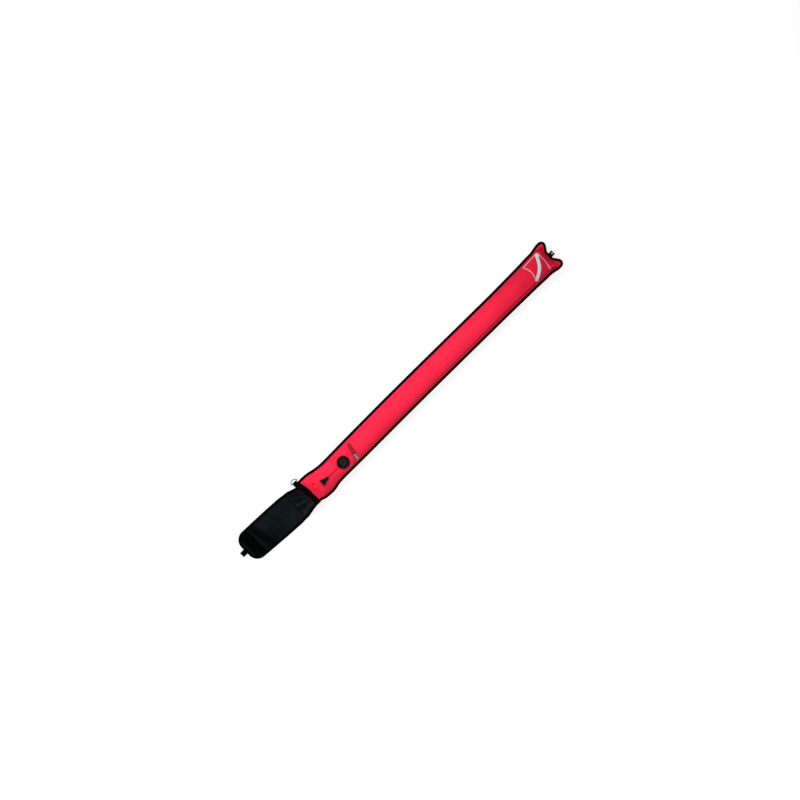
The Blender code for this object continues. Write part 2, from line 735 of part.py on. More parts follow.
def make_valve_base(frame):
    """Moulding welded into the fabric: flange, wall, seat and the spider that guides the stem."""
    wall = BASE_WALL_OUTER - BASE_WALL
    rib = SEAT_RIB_RADIUS
    rib_half = SEAT_RIB_WIDTH / 2.0
    deck = CLEAR + BASE_HEIGHT
    seat = SEAT_THICKNESS
    profile = [(BASE_WALL_OUTER, BASE_RISE), (BASE_WALL_OUTER, deck), (BASE_RADIUS, deck),
               (BASE_RADIUS, CLEAR), (BASE_WALL_OUTER, CLEAR), (BASE_WALL_OUTER, -BASE_DEPTH),
               (wall, -BASE_DEPTH), (wall, 0.0),
               (SEAT_INNER, 0.0), (SEAT_INNER, seat), (rib - rib_half, seat),
               (rib - rib_half, seat + SEAT_RIB_HEIGHT), (rib + rib_half, seat + SEAT_RIB_HEIGHT),
               (rib + rib_half, seat), (wall, seat), (wall, BASE_RISE)]
    base = turned("valve_base", profile, "plastic", frame, steps=32)
    middle = SPIDER_HEIGHT / 2.0 - BASE_DEPTH
    boss = cylinder("guide_boss", GUIDE_RADIUS, SPIDER_HEIGHT, (0, 0, middle), 24, frame)
    cut(base, boss, 'UNION')
    for k in range(SPIDER_ARMS):
        start = GUIDE_RADIUS / 2.0 + STEM_RADIUS
        reach = wall + BASE_WALL / 2.0 - start
        arm = box(f"spider_arm_{k}", (reach, SPIDER_ARM_WIDTH, SPIDER_ARM_HEIGHT), (0, 0, 0), None, frame)
        angle = 2.0 * math.pi * k / SPIDER_ARMS
        arm.rotation_euler = (0, 0, angle)
        away = start + reach / 2.0
        arm.location = (away * math.cos(angle), away * math.sin(angle), middle)
        cut(base, arm, 'UNION')
    bore = cylinder("guide_bore", STEM_RADIUS + SLIDE_GAP, 3.0 * SPIDER_HEIGHT, (0, 0, middle), 24, frame)
    cut(base, bore)


def make_poppet(frame):
    """Disc with its stem, the rubber diaphragm under it and the spring over it."""
    seal_low = SEAT_THICKNESS + SEAT_RIB_HEIGHT + CLEAR
    seal_high = seal_low + DIAPHRAGM_THICKNESS
    disc_low = seal_high + CLEAR
    disc_high = disc_low + POPPET_THICKNESS
    under_cap = CAP_TOP - CAP_PLATE
    hub = HUB_RADIUS + CLEAR
    seal = [(DIAPHRAGM_RADIUS, seal_high), (DIAPHRAGM_RADIUS, seal_low), (hub, seal_low), (hub, seal_high)]
    turned("valve_diaphragm", seal, "red_rubber", frame, steps=32)
    profile = [(0.0, under_cap), (PULL_STEM_RADIUS, under_cap), (PULL_STEM_RADIUS, disc_high),
               (POPPET_RADIUS, disc_high), (POPPET_RADIUS, disc_low), (HUB_RADIUS, disc_low),
               (HUB_RADIUS, seal_low), (STEM_RADIUS, seal_low), (STEM_RADIUS, -BASE_DEPTH - VALVE_LIFT),
               (0.0, -BASE_DEPTH - VALVE_LIFT)]
    turned("valve_poppet", profile, "plastic", frame, steps=28, closed=False)
    inset = CLEAR + SPRING_WIRE / 2.0
    points = helix(SPRING_RADIUS, disc_high + inset, under_cap - inset, SPRING_TURNS)
    wire("valve_spring", points, SPRING_WIRE, "steel", frame, resolution=1)
    report_gap("valve_spring", points, SPRING_WIRE)


def make_cap(frame):
    """Screwed cap with its ring of windows, a barred port and the slot that the cord leaves by."""
    radius = CAP_DIAMETER / 2.0
    under = CAP_TOP - CAP_PLATE
    shoulder = arc((radius - CAP_SHOULDER, CAP_TOP - CAP_SHOULDER), CAP_SHOULDER, 90, 0, 4)
    skirt = BASE_WALL_OUTER + SLIDE_GAP
    profile = [(0.0, CAP_TOP)] + shoulder
    profile += [(radius, CAP_SKIRT), (skirt, CAP_SKIRT), (skirt, under), (0.0, under)]
    cap = turned("valve_cap", profile, "plastic", frame, steps=44, closed=False)
    middle = CAP_TOP - CAP_PLATE / 2.0
    depth = 3.0 * CAP_PLATE
    for k in range(WINDOWS):
        angle = math.radians(WINDOW_TURN) + 2.0 * math.pi * k / WINDOWS
        place = (WINDOW_CIRCLE * math.cos(angle), WINDOW_CIRCLE * math.sin(angle), middle)
        cut(cap, cylinder(f"cap_window_{k}", WINDOW_RADIUS, depth, place, 12, frame))
    hole = PULL_STEM_RADIUS + 2.0 * SLIDE_GAP
    cut(cap, cylinder("cap_hole", hole, depth, (0, 0, middle), 20, frame))
    place = (-CORD_SLOT_REACH / 2.0, 0, middle)
    cut(cap, box("cord_slot", (CORD_SLOT_REACH, CORD_SLOT, depth), place, None, frame))
    angle = math.radians(WINDOW_TURN)
    pitch = 2.0 * PORT_RADIUS / 3.0
    for k in (-1, 0, 1):
        half = math.sqrt(PORT_RADIUS ** 2 - (pitch * abs(k)) ** 2)
        bar = box(f"port_gap_{k + 1}", (pitch - PORT_BAR, 2.0 * half, depth), (0, 0, 0), None, frame)
        bar.rotation_euler = (0, 0, angle)
        away = PORT_CIRCLE + pitch * k
        bar.location = (away * math.cos(angle), away * math.sin(angle), middle)
        cut(cap, bar)


def make_valve():
    """Dump valve on the tube's crown."""
    frame = empty("valve_axis", (X_VALVE, VALVE_Y, Z_DECK))
    bpy.context.view_layer.update()
    make_valve_base(frame)
    make_poppet(frame)
    make_cap(frame)


# Pull cord and knob

def knob_ring(along):
    """Half width, half thickness and lobe depth of the knob at a share of its length."""
    half = through(KNOB_OUTLINE, along) * KNOB_WIDTH / 2.0
    return half, half * KNOB_FLATNESS, KNOB_LOBE_DEPTH * along * along


def knob_axis():
    """Ends of the knob's axis, laid on the crown."""
    start = X_VALVE - KNOB_FROM_VALVE
    end = start - KNOB_LENGTH
    rest = []
    for along in (0.05, 0.9):
        x = start - along * KNOB_LENGTH
        rest.append((along, crown(x, VALVE_Y) + knob_ring(along)[1] + KNOB_SEAT))
    slope = (rest[1][1] - rest[0][1]) / (rest[1][0] - rest[0][0])
    low = rest[0][1] - slope * rest[0][0]
    lift = 0.0
    for k in range(21):
        along = k / 20.0
        x = start - along * KNOB_LENGTH
        lift = max(lift, crown(x, VALVE_Y) + knob_ring(along)[1] + KNOB_SEAT - low - slope * along)
    return Vector((start, VALVE_Y, low + lift)), Vector((end, VALVE_Y, low + slope + lift))


def make_knob():
    """Lobed pull knob that lies on the crown."""
    start, end = knob_axis()
    rings = []
    for along, _ in KNOB_OUTLINE:
        half, thick, lobes = knob_ring(along)
        centre = start.lerp(end, along)
        ring = []
        for k in range(6 * KNOB_LOBES):
            angle = 2.0 * math.pi * k / (6 * KNOB_LOBES)
            size = 1.0 - lobes * (0.5 - 0.5 * math.cos(KNOB_LOBES * angle))
            ring.append(centre + Vector((0.0, half * size * math.cos(angle), thick * size * math.sin(angle))))
        rings.append(ring)
    loft("pull_knob", rings, "plastic")


def make_cord():
    """Pull cord from the poppet's stem, out of the cap's slot and along the crown to the knob."""
    knob = knob_axis()[0]
    route = [Vector((X_VALVE - out, VALVE_Y, Z_DECK + CAP_TOP + up)) for out, up in CORD_RISE]
    for out, up in CORD_LIE:
        route.append(Vector((X_VALVE - out, VALVE_Y, crown(X_VALVE - out, VALVE_Y) + up)))
    route.append(knob + Vector((CLEAR + 2.0 * CORD_DIAMETER, 0, 0)))
    route.append(knob + Vector((CLEAR, 0, 0)))
    wire("pull_cord", smooth_route(route, 2.4 * CORD_DIAMETER), CORD_DIAMETER, "cord")


def smooth_route(route, step):
    """Points at an even step on a smooth curve through a cord's route."""
    fine = []
    for k in range(len(route) - 1):
        a = route[max(0, k - 1)]
        b, c = route[k], route[k + 1]
        d = route[min(len(route) - 1, k + 2)]
        for m in range(12):
            t = m / 12.0
            fine.append(0.5 * ((2.0 * b) + (c - a) * t + (2.0 * a - 5.0 * b + 4.0 * c - d) * t * t
                               + (3.0 * b - a - 3.0 * c + d) * t ** 3))
    fine.append(route[-1])
    lengths = [0.0]
    for k in range(1, len(fine)):
        lengths.append(lengths[-1] + (fine[k] - fine[k - 1]).length)
    count = max(2, round(lengths[-1] / step))
    points = []
    for m in range(count + 1):
        target = lengths[-1] * m / count
        k = max(i for i in range(len(fine)) if lengths[i] <= target + 1e-9)
        k = min(k, len(fine) - 2)
        share = (target - lengths[k]) / (lengths[k + 1] - lengths[k])
        points.append(tuple(fine[k].lerp(fine[k + 1], share)))
    print(f"cord length {lengths[-1] * 1000:.1f} mm")
    return points


# Oral inflation tube

def hose_ray(place_y, radius):
    """Angle from the vertical at which a circle round the tube's middle reaches a sideways place."""
    middle = section(X_NECK + HOSE_FROM_NECK)[0]
    return math.asin((place_y - middle) / radius)


def hose_root():
    """Middle of the hose's rounded root, and its angle from the vertical."""
    radius = RADIUS + HOSE_LIFT + HOSE_BALL
    angle = hose_ray(HOSE_ROOT_Y, radius)
    x = X_NECK + HOSE_FROM_NECK
    return Vector((x, HOSE_ROOT_Y, Z_SEAM + radius * math.cos(angle))), angle


def hose_root_frame():
    """Frame at the root with Z square to the fabric."""
    centre, angle = hose_root()
    return Matrix.Translation(centre) @ Matrix.Rotation(-angle, 4, 'X')


def hose_path(count):
    """Places and directions along the hose, seen from its root, in a plane across the tube."""
    start_radius = RADIUS + HOSE_LIFT + HOSE_BALL
    end_radius = RADIUS + HOSE_LIFT + BODY_RADIUS
    start = hose_ray(HOSE_ROOT_Y, start_radius)
    end = hose_ray(HOSE_END_Y, end_radius)
    origin = Vector((0, math.sin(start), math.cos(start))) * start_radius

    def at(share):
        angle = start + (end - start) * share
        return Vector((0, math.sin(angle), math.cos(angle))) * (
            start_radius + (end_radius - start_radius) * share) - origin

    small = 0.001
    places = []
    for k in range(count + 1):
        share = k / count
        places.append((at(share), (at(share + small) - at(share - small)).normalized()))
    return places


def make_collar():
    """Flange with the cup that the root turns in, its spigot into the tube and the nut inside."""
    frame = empty("collar_axis", (0, 0, 0))
    frame.matrix_world = hose_root_frame()
    surface = -HOSE_BALL - HOSE_LIFT
    low = surface + CLEAR
    top = low + COLLAR_HEIGHT
    end = surface - SPIGOT_DEPTH
    profile = [(COLLAR_RADIUS, top), (COLLAR_RADIUS, low), (SPIGOT_RADIUS, low), (SPIGOT_RADIUS, end),
               (SPIGOT_BORE, end), (SPIGOT_BORE, top)]
    collar = turned("hose_collar", profile, "red_rubber", frame, steps=28)
    bm = bmesh.new()
    bmesh.ops.create_uvsphere(bm, u_segments=24, v_segments=16, radius=HOSE_BALL + CLEAR)
    cut(collar, from_bmesh("hose_cup", bm, None, frame))
    channel = cylinder("hose_channel", HOSE_BALL + CLEAR, 0.03, (0, 0, 0), 24, frame)
    channel.matrix_local = (Matrix.Rotation(math.radians(-HOSE_TURN), 4, 'Z')
                            @ Matrix.Rotation(math.radians(90), 4, 'X') @ Matrix.Translation((0, 0, 0.015)))
    cut(collar, channel)
    sag = NUT_RADIUS ** 2 / (2.0 * RADIUS)
    high = surface - FABRIC - sag - 2.0 * CLEAR
    rim = arc((0.0, 0.0), NUT_RADIUS, 0, 300, 5)
    hole = arc((0.0, 0.0), SPIGOT_RADIUS + CLEAR, 0, 345, 23)
    outline("hose_nut", [rim, hole], NUT_HEIGHT, "plastic", frame, (0, 0, high - NUT_HEIGHT / 2.0))


def make_hose():
    """Rubber hose over the crown, and the metal inflator at its end."""
    root = empty("hose_axis", hose_root()[0], Matrix.Rotation(math.radians(-HOSE_TURN), 4, 'Z'))
    places = hose_path(9)
    first, direction = places[0]
    stops = [(first - direction * math.sqrt(HOSE_BALL ** 2 - r * r), direction, r)
             for r in (HOSE_BALL * share for share in HOSE_ROUNDING)]
    for k, (place, along) in enumerate(places):
        flare = ease(2.0 * k / 9.0 - 1.0)
        radius = HOSE_BALL if k == 0 else HOSE_RADIUS + (HOSE_FLARE - HOSE_RADIUS) * flare
        stops.append((place, along, radius))
    rings = []
    for place, along, radius in stops:
        up = Vector((1, 0, 0)).cross(along)
        rings.append([place + (Vector((1, 0, 0)) * math.cos(a) + up * math.sin(a)) * radius
                      for a in (2.0 * math.pi * k / 14.0 for k in range(14))])
    loft("inflation_hose", rings, "hose", root)
    place, along = places[-1]
    frame = empty("inflator_axis", place, along.to_track_quat('Z', 'X').to_matrix())
    frame.parent = root
    bpy.context.view_layer.update()
    make_inflator(frame)


def make_inflator(frame):
    """Metal body with a sprung pin that ends in a nipple."""
    mouth = BODY_LENGTH + BODY_NECK
    bore = mouth - PIN_BORE_DEPTH
    hole = PIN_RADIUS + SLIDE_GAP
    shoulder = 2.0 * BODY_CHAMFER
    waist = BODY_RADIUS - BODY_CHAMFER
    grip = [BODY_LENGTH * share for share in BODY_GRIP]
    body = [(0.0, bore), (hole, bore), (hole, mouth), (BODY_NECK_RADIUS, mouth),
            (BODY_NECK_RADIUS, BODY_LENGTH),
            (BODY_RADIUS - shoulder, BODY_LENGTH), (BODY_RADIUS, BODY_LENGTH - shoulder),
            (BODY_RADIUS, grip[0]), (waist, grip[1]), (waist, grip[2]), (BODY_RADIUS, grip[3]),
            (BODY_RADIUS, CLEAR + BODY_CHAMFER), (waist, CLEAR), (0.0, CLEAR)]
    turned("inflator_body", body, "chrome", frame, steps=28, closed=False)
    head = mouth + PIN_PUSH + CLEAR
    tip = head + NIPPLE_LENGTH
    tail = bore + PIN_PUSH + PIN_SPRING_LENGTH + 2.0 * CLEAR
    groove = NIPPLE_RADIUS - NIPPLE_GROOVE
    edge = NIPPLE_GROOVE / 2.0
    rim = [head + NIPPLE_LENGTH * share for share in NIPPLE_SHAPE]
    pin = [(0.0, tip), (NIPPLE_RADIUS - edge, tip), (NIPPLE_RADIUS, tip - edge), (NIPPLE_RADIUS, rim[0]),
           (groove, rim[1]), (groove, rim[2]), (NIPPLE_RADIUS, rim[3]), (NIPPLE_RADIUS, head),
           (PIN_RADIUS, head), (PIN_RADIUS, tail), (0.0, tail)]
    turned("inflator_pin", pin, "chrome", frame, steps=24, closed=False)
    low = tail - CLEAR - PIN_SPRING_LENGTH + PIN_SPRING_WIRE / 2.0
    high = tail - CLEAR - PIN_SPRING_WIRE / 2.0
    points = helix(PIN_RADIUS - PIN_SPRING_WIRE / 2.0, low, high, PIN_SPRING_TURNS)
    wire("inflator_spring", points, PIN_SPRING_WIRE, "steel", frame, resolution=1)
    report_gap("inflator_spring", points, PIN_SPRING_WIRE)


# Stowing wrap

def wrap_middle(x):
    """Middle line of the wrap, which lies askew."""
    return WRAP_SHIFT + WRAP_SKEW * max(0.0, X_PANEL - x)


def panel_half(x):
    """Half width of the gathered panel between the neck and the seam."""
    share = ease((X_PANEL - x) / GATHER_PANEL)
    return (WRAP_TOP_WIDTH + (WRAP_SEAM_WIDTH - WRAP_TOP_WIDTH) * share) / 2.0


def panel_height(x):
    """The gathered panel sinks from the neck to the ground."""
    return Z_WRAP + (Z_SEAM - Z_WRAP) * (1.0 - ease((X_PANEL - x) / GATHER_PANEL))


def make_gathered_panel():
    """Fabric that hangs from the neck to the ground, pinched under the band."""
    def place(i, j):
        x = X_SEAM + (X_PANEL - X_SEAM) * i / PANEL_ROWS
        across = 2.0 * j / PANEL_COLUMNS - 1.0
        down = (X_PANEL - x) / GATHER_PANEL
        wave = math.cos(math.pi * WRAP_GATHERS * across) * math.sin(math.pi * down)
        inside = ease((1.0 - abs(across)) / WRAP_GATHER_MARGIN - 1.0)
        lift = WRAP_GATHER_HEIGHT * wave * inside
        high = panel_height(x) + WRAP_FABRIC / 2.0 + lift
        return Vector((x, wrap_middle(x) + panel_half(x) * across, high))

    sheet("gathered_panel", PANEL_ROWS, PANEL_COLUMNS, place, WRAP_FABRIC, "nylon", 1)
    for side, name in ((-1, "panel_tape_right"), (1, "panel_tape_left")):
        path, normals = [], []
        for k in range(PANEL_ROWS + 1):
            x = X_SEAM + TAPE_SET_BACK + (GATHER_PANEL - 2.0 * TAPE_SET_BACK) * k / PANEL_ROWS
            step = 0.0005
            path.append(Vector((x, wrap_middle(x) + side * panel_half(x), panel_height(x))))
            slope = (panel_height(x + step) - panel_height(x - step)) / (2.0 * step)
            normals.append(Vector((-slope, 0, 1)))
        if side > 0:
            path.reverse()
            normals.reverse()
        edge_tape(name, path, normals, WRAP_FABRIC / 2.0, WRAP_TAPE_WIDTH, "tape")


def wrap_half(x):
    """Half width of the wrap before its end is rounded."""
    share = (X_WRAP - x) / WRAP_LENGTH
    width = WRAP_SEAM_WIDTH + (WRAP_WIDTH - WRAP_SEAM_WIDTH) * ease(share / WRAP_WIDENS)
    far = ease((share - WRAP_NARROWS) / (1.0 - WRAP_NARROWS))
    return (width + (WRAP_END_WIDTH - WRAP_WIDTH) * far) / 2.0


def wrap_edge():
    """Edge of the wrap from the seam at -Y round its end to the seam at +Y."""
    sides = {}
    start = X_WRAP_END + WRAP_CORNER
    for side in (-1, 1):
        xs = [X_WRAP + (start - X_WRAP) * k / 10.0 for k in range(10)]
        sides[side] = [(x, wrap_middle(x) + side * wrap_half(x)) for x in xs]
    low_edge = wrap_middle(start) - wrap_half(start)
    high_edge = wrap_middle(start) + wrap_half(start)
    low = arc((start, low_edge + WRAP_CORNER), WRAP_CORNER, 270, 180, 8)
    high = arc((start, high_edge - WRAP_CORNER), WRAP_CORNER, 180, 90, 8)
    return sides[-1] + low + high + list(reversed(sides[1]))


def strip_outline(x_near, x_far):
    """Hook or loop strip between the wrap's side tapes."""
    inset = WRAP_TAPE_WIDTH + STRIP_SIDE_GAP

    def reach(x, side):
        rest = max(0.0, X_WRAP_END + WRAP_CORNER - x)
        corner = WRAP_CORNER - math.sqrt(max(0.0, (WRAP_CORNER - inset) ** 2 - rest ** 2)) - inset
        flat = min(x, X_WRAP)
        straight = max(flat, X_WRAP_END + WRAP_CORNER)
        half = wrap_half(straight) - inset - (corner if rest > 0.0 else 0.0)
        return wrap_middle(straight) + side * half

    count = 5
    xs = [x_near + (x_far - x_near) * k / count for k in range(count + 1)]
    return [(x, reach(x, -1)) for x in xs] + [(x, reach(x, 1)) for x in reversed(xs)]


def make_wrap():
    """Flat wrap on the ground with its tape, strips and pull tab."""
    edge = wrap_edge()
    outline("wrap_panel", [edge], WRAP_FABRIC, "nylon", None, (0, 0, Z_WRAP))
    path = [Vector((x, y, Z_WRAP)) for x, y in reversed(edge)]
    path[0].x -= TAPE_SET_BACK
    path[-1].x -= TAPE_SET_BACK
    up = [Vector((0, 0, 1))] * len(path)
    edge_tape("wrap_binding", path, up, WRAP_FABRIC / 2.0, WRAP_TAPE_WIDTH, "tape")
    far = X_WRAP_END + HOOK_FROM_END
    top = Z_WRAP + WRAP_FABRIC / 2.0 + CLEAR + HOOK_STRIP / 2.0
    outline("hook_strip", [strip_outline(far + STRIP_WIDTH, far)], HOOK_STRIP, "hook", None, (0, 0, top))
    near = X_WRAP - LOOP_FROM_SEAM
    outline("loop_strip", [strip_outline(near, near - STRIP_WIDTH)], LOOP_STRIP, "hook", None,
            (0, 0, LOOP_STRIP / 2.0))
    y = (edge[18][1] + edge[19][1]) / 2.0
    low = WRAP_TAPE_HALF + CLEAR
    reach = PULL_TAB_REACH - CLEAR - TAPE
    fold = CLEAR + WEBBING
    side = [(PULL_TAB_GRIP, low), (-CLEAR, low), (-CLEAR, -Z_WRAP), (-reach, -Z_WRAP),
            (-reach, 2.0 * WEBBING - Z_WRAP), (-fold - TAB_SLOPE, 2.0 * WEBBING - Z_WRAP),
            (-fold, low + WEBBING), (PULL_TAB_GRIP, low + WEBBING)]
    place = (X_WRAP_END - CLEAR - TAPE, y, Z_WRAP)
    outline("pull_tab", [side], PULL_TAB_WIDTH, "webbing", None, place, ALONG)


FINISHES = {
    "red": ((0.93, 0.035, 0.085), 0.55, 0.0),
    "tape": ((0.012, 0.012, 0.013), 0.8, 0.0),
    "webbing": ((0.010, 0.010, 0.011), 0.75, 0.0),
    "nylon": ((0.012, 0.018, 0.021), 0.6, 0.0),
    "hook": ((0.006, 0.006, 0.007), 0.95, 0.0),
    "plastic": ((0.014, 0.016, 0.018), 0.4, 0.0),
    "red_rubber": ((0.60, 0.02, 0.04), 0.5, 0.0),
    "hose": ((0.36, 0.015, 0.022), 0.3, 0.0),
    "chrome": ((0.75, 0.78, 0.78), 0.12, 1.0),
    "steel": ((0.55, 0.56, 0.57), 0.3, 1.0),
    "cord": ((0.02, 0.018, 0.02), 0.8, 0.0),
}

clear_scene()
PARTS = new_collection("surface_marker_buoy")
CUTTERS = new_collection("cutters")
make_tube()
make_band()
make_top_tab()
make_ring()
make_valve()
make_cord()
make_knob()
make_collar()
make_hose()
make_gathered_panel()
make_wrap()
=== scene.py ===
"""Looks of an inflated surface marker buoy: fabric, tapes, webbing, dump valve, hose and stowing wrap.

Every piece is made at the origin with its place in its mesh, in metres, +X towards the eared top
end, +Y to the side with the ring and +Z up. The tube lies on the floor at z = 0.
"""
from __future__ import annotations

import json
import logging
from dataclasses import dataclass
from enum import Enum
from functools import cached_property
from math import asin, atan2, copysign, cos, dist, exp, hypot, pi, radians, sin, sqrt
from typing import Callable, Iterable, Optional, Sequence

import bmesh
import bpy
from mathutils import Matrix, Vector, noise

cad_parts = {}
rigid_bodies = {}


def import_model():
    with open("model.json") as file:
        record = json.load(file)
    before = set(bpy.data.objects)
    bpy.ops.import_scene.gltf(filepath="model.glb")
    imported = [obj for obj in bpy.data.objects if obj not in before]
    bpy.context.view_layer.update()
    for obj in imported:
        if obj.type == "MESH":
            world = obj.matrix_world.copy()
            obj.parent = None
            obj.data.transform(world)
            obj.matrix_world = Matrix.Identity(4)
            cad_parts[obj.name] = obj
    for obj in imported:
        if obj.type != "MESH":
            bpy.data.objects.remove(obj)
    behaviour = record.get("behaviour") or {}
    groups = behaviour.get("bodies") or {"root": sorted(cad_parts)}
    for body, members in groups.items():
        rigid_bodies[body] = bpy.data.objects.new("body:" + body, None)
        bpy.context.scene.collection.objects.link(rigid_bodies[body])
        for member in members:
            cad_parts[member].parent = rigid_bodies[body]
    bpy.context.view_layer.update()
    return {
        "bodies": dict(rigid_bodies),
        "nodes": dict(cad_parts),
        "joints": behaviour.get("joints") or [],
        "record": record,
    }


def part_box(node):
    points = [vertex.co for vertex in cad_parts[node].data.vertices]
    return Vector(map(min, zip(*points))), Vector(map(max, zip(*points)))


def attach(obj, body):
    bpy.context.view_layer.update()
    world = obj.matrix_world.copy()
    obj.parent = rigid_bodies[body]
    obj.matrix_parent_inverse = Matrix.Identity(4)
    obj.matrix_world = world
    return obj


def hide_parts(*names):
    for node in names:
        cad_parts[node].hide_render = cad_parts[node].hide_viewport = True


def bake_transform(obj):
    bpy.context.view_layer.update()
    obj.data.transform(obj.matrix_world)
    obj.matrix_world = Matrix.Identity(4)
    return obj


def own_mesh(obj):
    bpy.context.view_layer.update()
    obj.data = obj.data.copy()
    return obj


LOG = logging.getLogger("surface_marker_buoy")
CLOTH_MAP = "cloth"                 # UV map in metres: along the piece, across it
PAINTED_LIGHT_AND_SHADE = "tone"                 # attribute of painted light and shade: from 0, painted shade in creases and under the band, over 0.5, plain cloth, to 1, painted light on the crests of folds
UP = Vector((0, 0, 1))
SEWN = 0.0001                       # how far stitches and prints stand off what they are on
WEBBING = 0.0013                    # thickness of webbing
CLEAR = 0.0003                      # room between two pieces
LOWEST = 0.0002                     # lowest place of cloth that lies on the floor

Pair = tuple[float, float]
Colour = tuple[float, float, float]
Socket = bpy.types.NodeSocket
Tree = bpy.types.NodeTree
Material = bpy.types.Material
Piece = bpy.types.Object
BMesh = bmesh.types.BMesh


# Curves and small sums

def clamp(value: float, low: float = 0.0, high: float = 1.0) -> float:
    """Return a value kept between two bounds."""
    return min(high, max(low, value))


def ease(value: float) -> float:
    """Return a smooth step from 0 to 1."""
    t = clamp(value)
    return t * t * (3 - 2 * t)


def bump(value: float, width: float) -> float:
    """Return 1 at 0, falling off smoothly over a width."""
    return exp(-(value / width) ** 2)


class Curve:
    """Height of a smooth curve through points, level past both ends."""

    def __init__(self, *points: Pair) -> None:
        """Keep the points and work out the slope at each."""
        self.points = points
        around = zip((points[0], *points), (*points[1:], points[-1]))
        self.slopes = [(b[1] - a[1]) / (b[0] - a[0]) for a, b in around]

    def at(self, x: float) -> float:
        """Return the curve's height at a place."""
        points = self.points
        if x <= points[0][0]:
            return points[0][1]
        if x >= points[-1][0]:
            return points[-1][1]
        k = 0
        while points[k + 1][0] <= x:
            k += 1
        (x0, y0), (x1, y1) = points[k], points[k + 1]
        h = x1 - x0
        t = (x - x0) / h
        return ((1 + 2 * t) * (1 - t) ** 2 * y0 + t * (1 - t) ** 2 * h * self.slopes[k]
                + t * t * (3 - 2 * t) * y1 + t * t * (t - 1) * h * self.slopes[k + 1])


def arc(centre: Pair, radius: float, start: float, end: float, steps: int) -> list[Pair]:
    """Return points of a flat arc, angles in degrees."""
    angles = [radians(start + (end - start) * k / steps) for k in range(steps + 1)]
    return [(centre[0] + radius * cos(a), centre[1] + radius * sin(a)) for a in angles]


def rounded(profile: Sequence[Pair], radius: float, steps: int = 3, closed: bool = True) -> list[Pair]:
    """Round the corners of an outline.

    Args:
        profile: Corners in order.
        radius: Most that a corner is cut back along its sides.
        steps: Points that each corner gains.
        closed: Whether the last corner joins the first.

    Returns:
        The outline with each corner as a short curve.
    """
    made: list[Pair] = []
    count = len(profile)
    for k, corner in enumerate(profile):
        if not closed and k in (0, count - 1):
            made.append(corner)
            continue
        middle = Vector(corner)
        before, after = Vector(profile[k - 1]) - middle, Vector(profile[(k + 1) % count]) - middle
        reach = min(radius, before.length * 0.45, after.length * 0.45)
        start, end = middle + before.normalized() * reach, middle + after.normalized() * reach
        for m in range(steps + 1):
            t = m / steps
            made.append(tuple(start * (1 - t) ** 2 + middle * (2 * t * (1 - t)) + end * t * t))
    return made


def lengths_along(route: Sequence[Vector]) -> list[float]:
    """Return the length of a route up to each of its points."""
    lengths = [0]
    for a, b in zip(route, route[1:]):
        lengths.append(lengths[-1] + (b - a).length)
    return lengths


def directions(route: Sequence[Vector], across: Vector) -> list[Vector]:
    """Return the direction at each point that is square to the route and to an axis across it."""
    around = zip((route[0], *route), (*route[1:], route[-1]))
    return [across.cross(after - before).normalized() for before, after in around]


def inset_path(path: Sequence[Vector], inset: float) -> list[Vector]:
    """Return a path moved to its left, seen from above."""
    return [point + way * inset for point, way in zip(path, directions(path, UP))]


def resample(route: Sequence[Vector], step: float) -> list[Vector]:
    """Return points at an even step along straight runs through a route."""
    lengths = lengths_along(route)
    count = max(1, round(lengths[-1] / step))
    points = []
    k = 0
    for m in range(count + 1):
        target = lengths[-1] * m / count
        while k < len(route) - 2 and lengths[k + 1] < target:
            k += 1
        span = max(1e-9, lengths[k + 1] - lengths[k])
        points.append(route[k].lerp(route[k + 1], (target - lengths[k]) / span))
    return points


def smooth_route(route: Sequence[Vector], fine: int = 12) -> list[Vector]:
    """Return points of a smooth curve through a route."""
    made = []
    for k in range(len(route) - 1):
        a = route[max(0, k - 1)]
        b, c = route[k], route[k + 1]
        d = route[min(len(route) - 1, k + 2)]
        for m in range(fine):
            t = m / fine
            made.append(0.5 * ((2 * b) + (c - a) * t + (2 * a - 5 * b + 4 * c - d) * t * t
                               + (3 * b - a - 3 * c + d) * t ** 3))
    made.append(route[-1].copy())
    return made


# Shader nodes

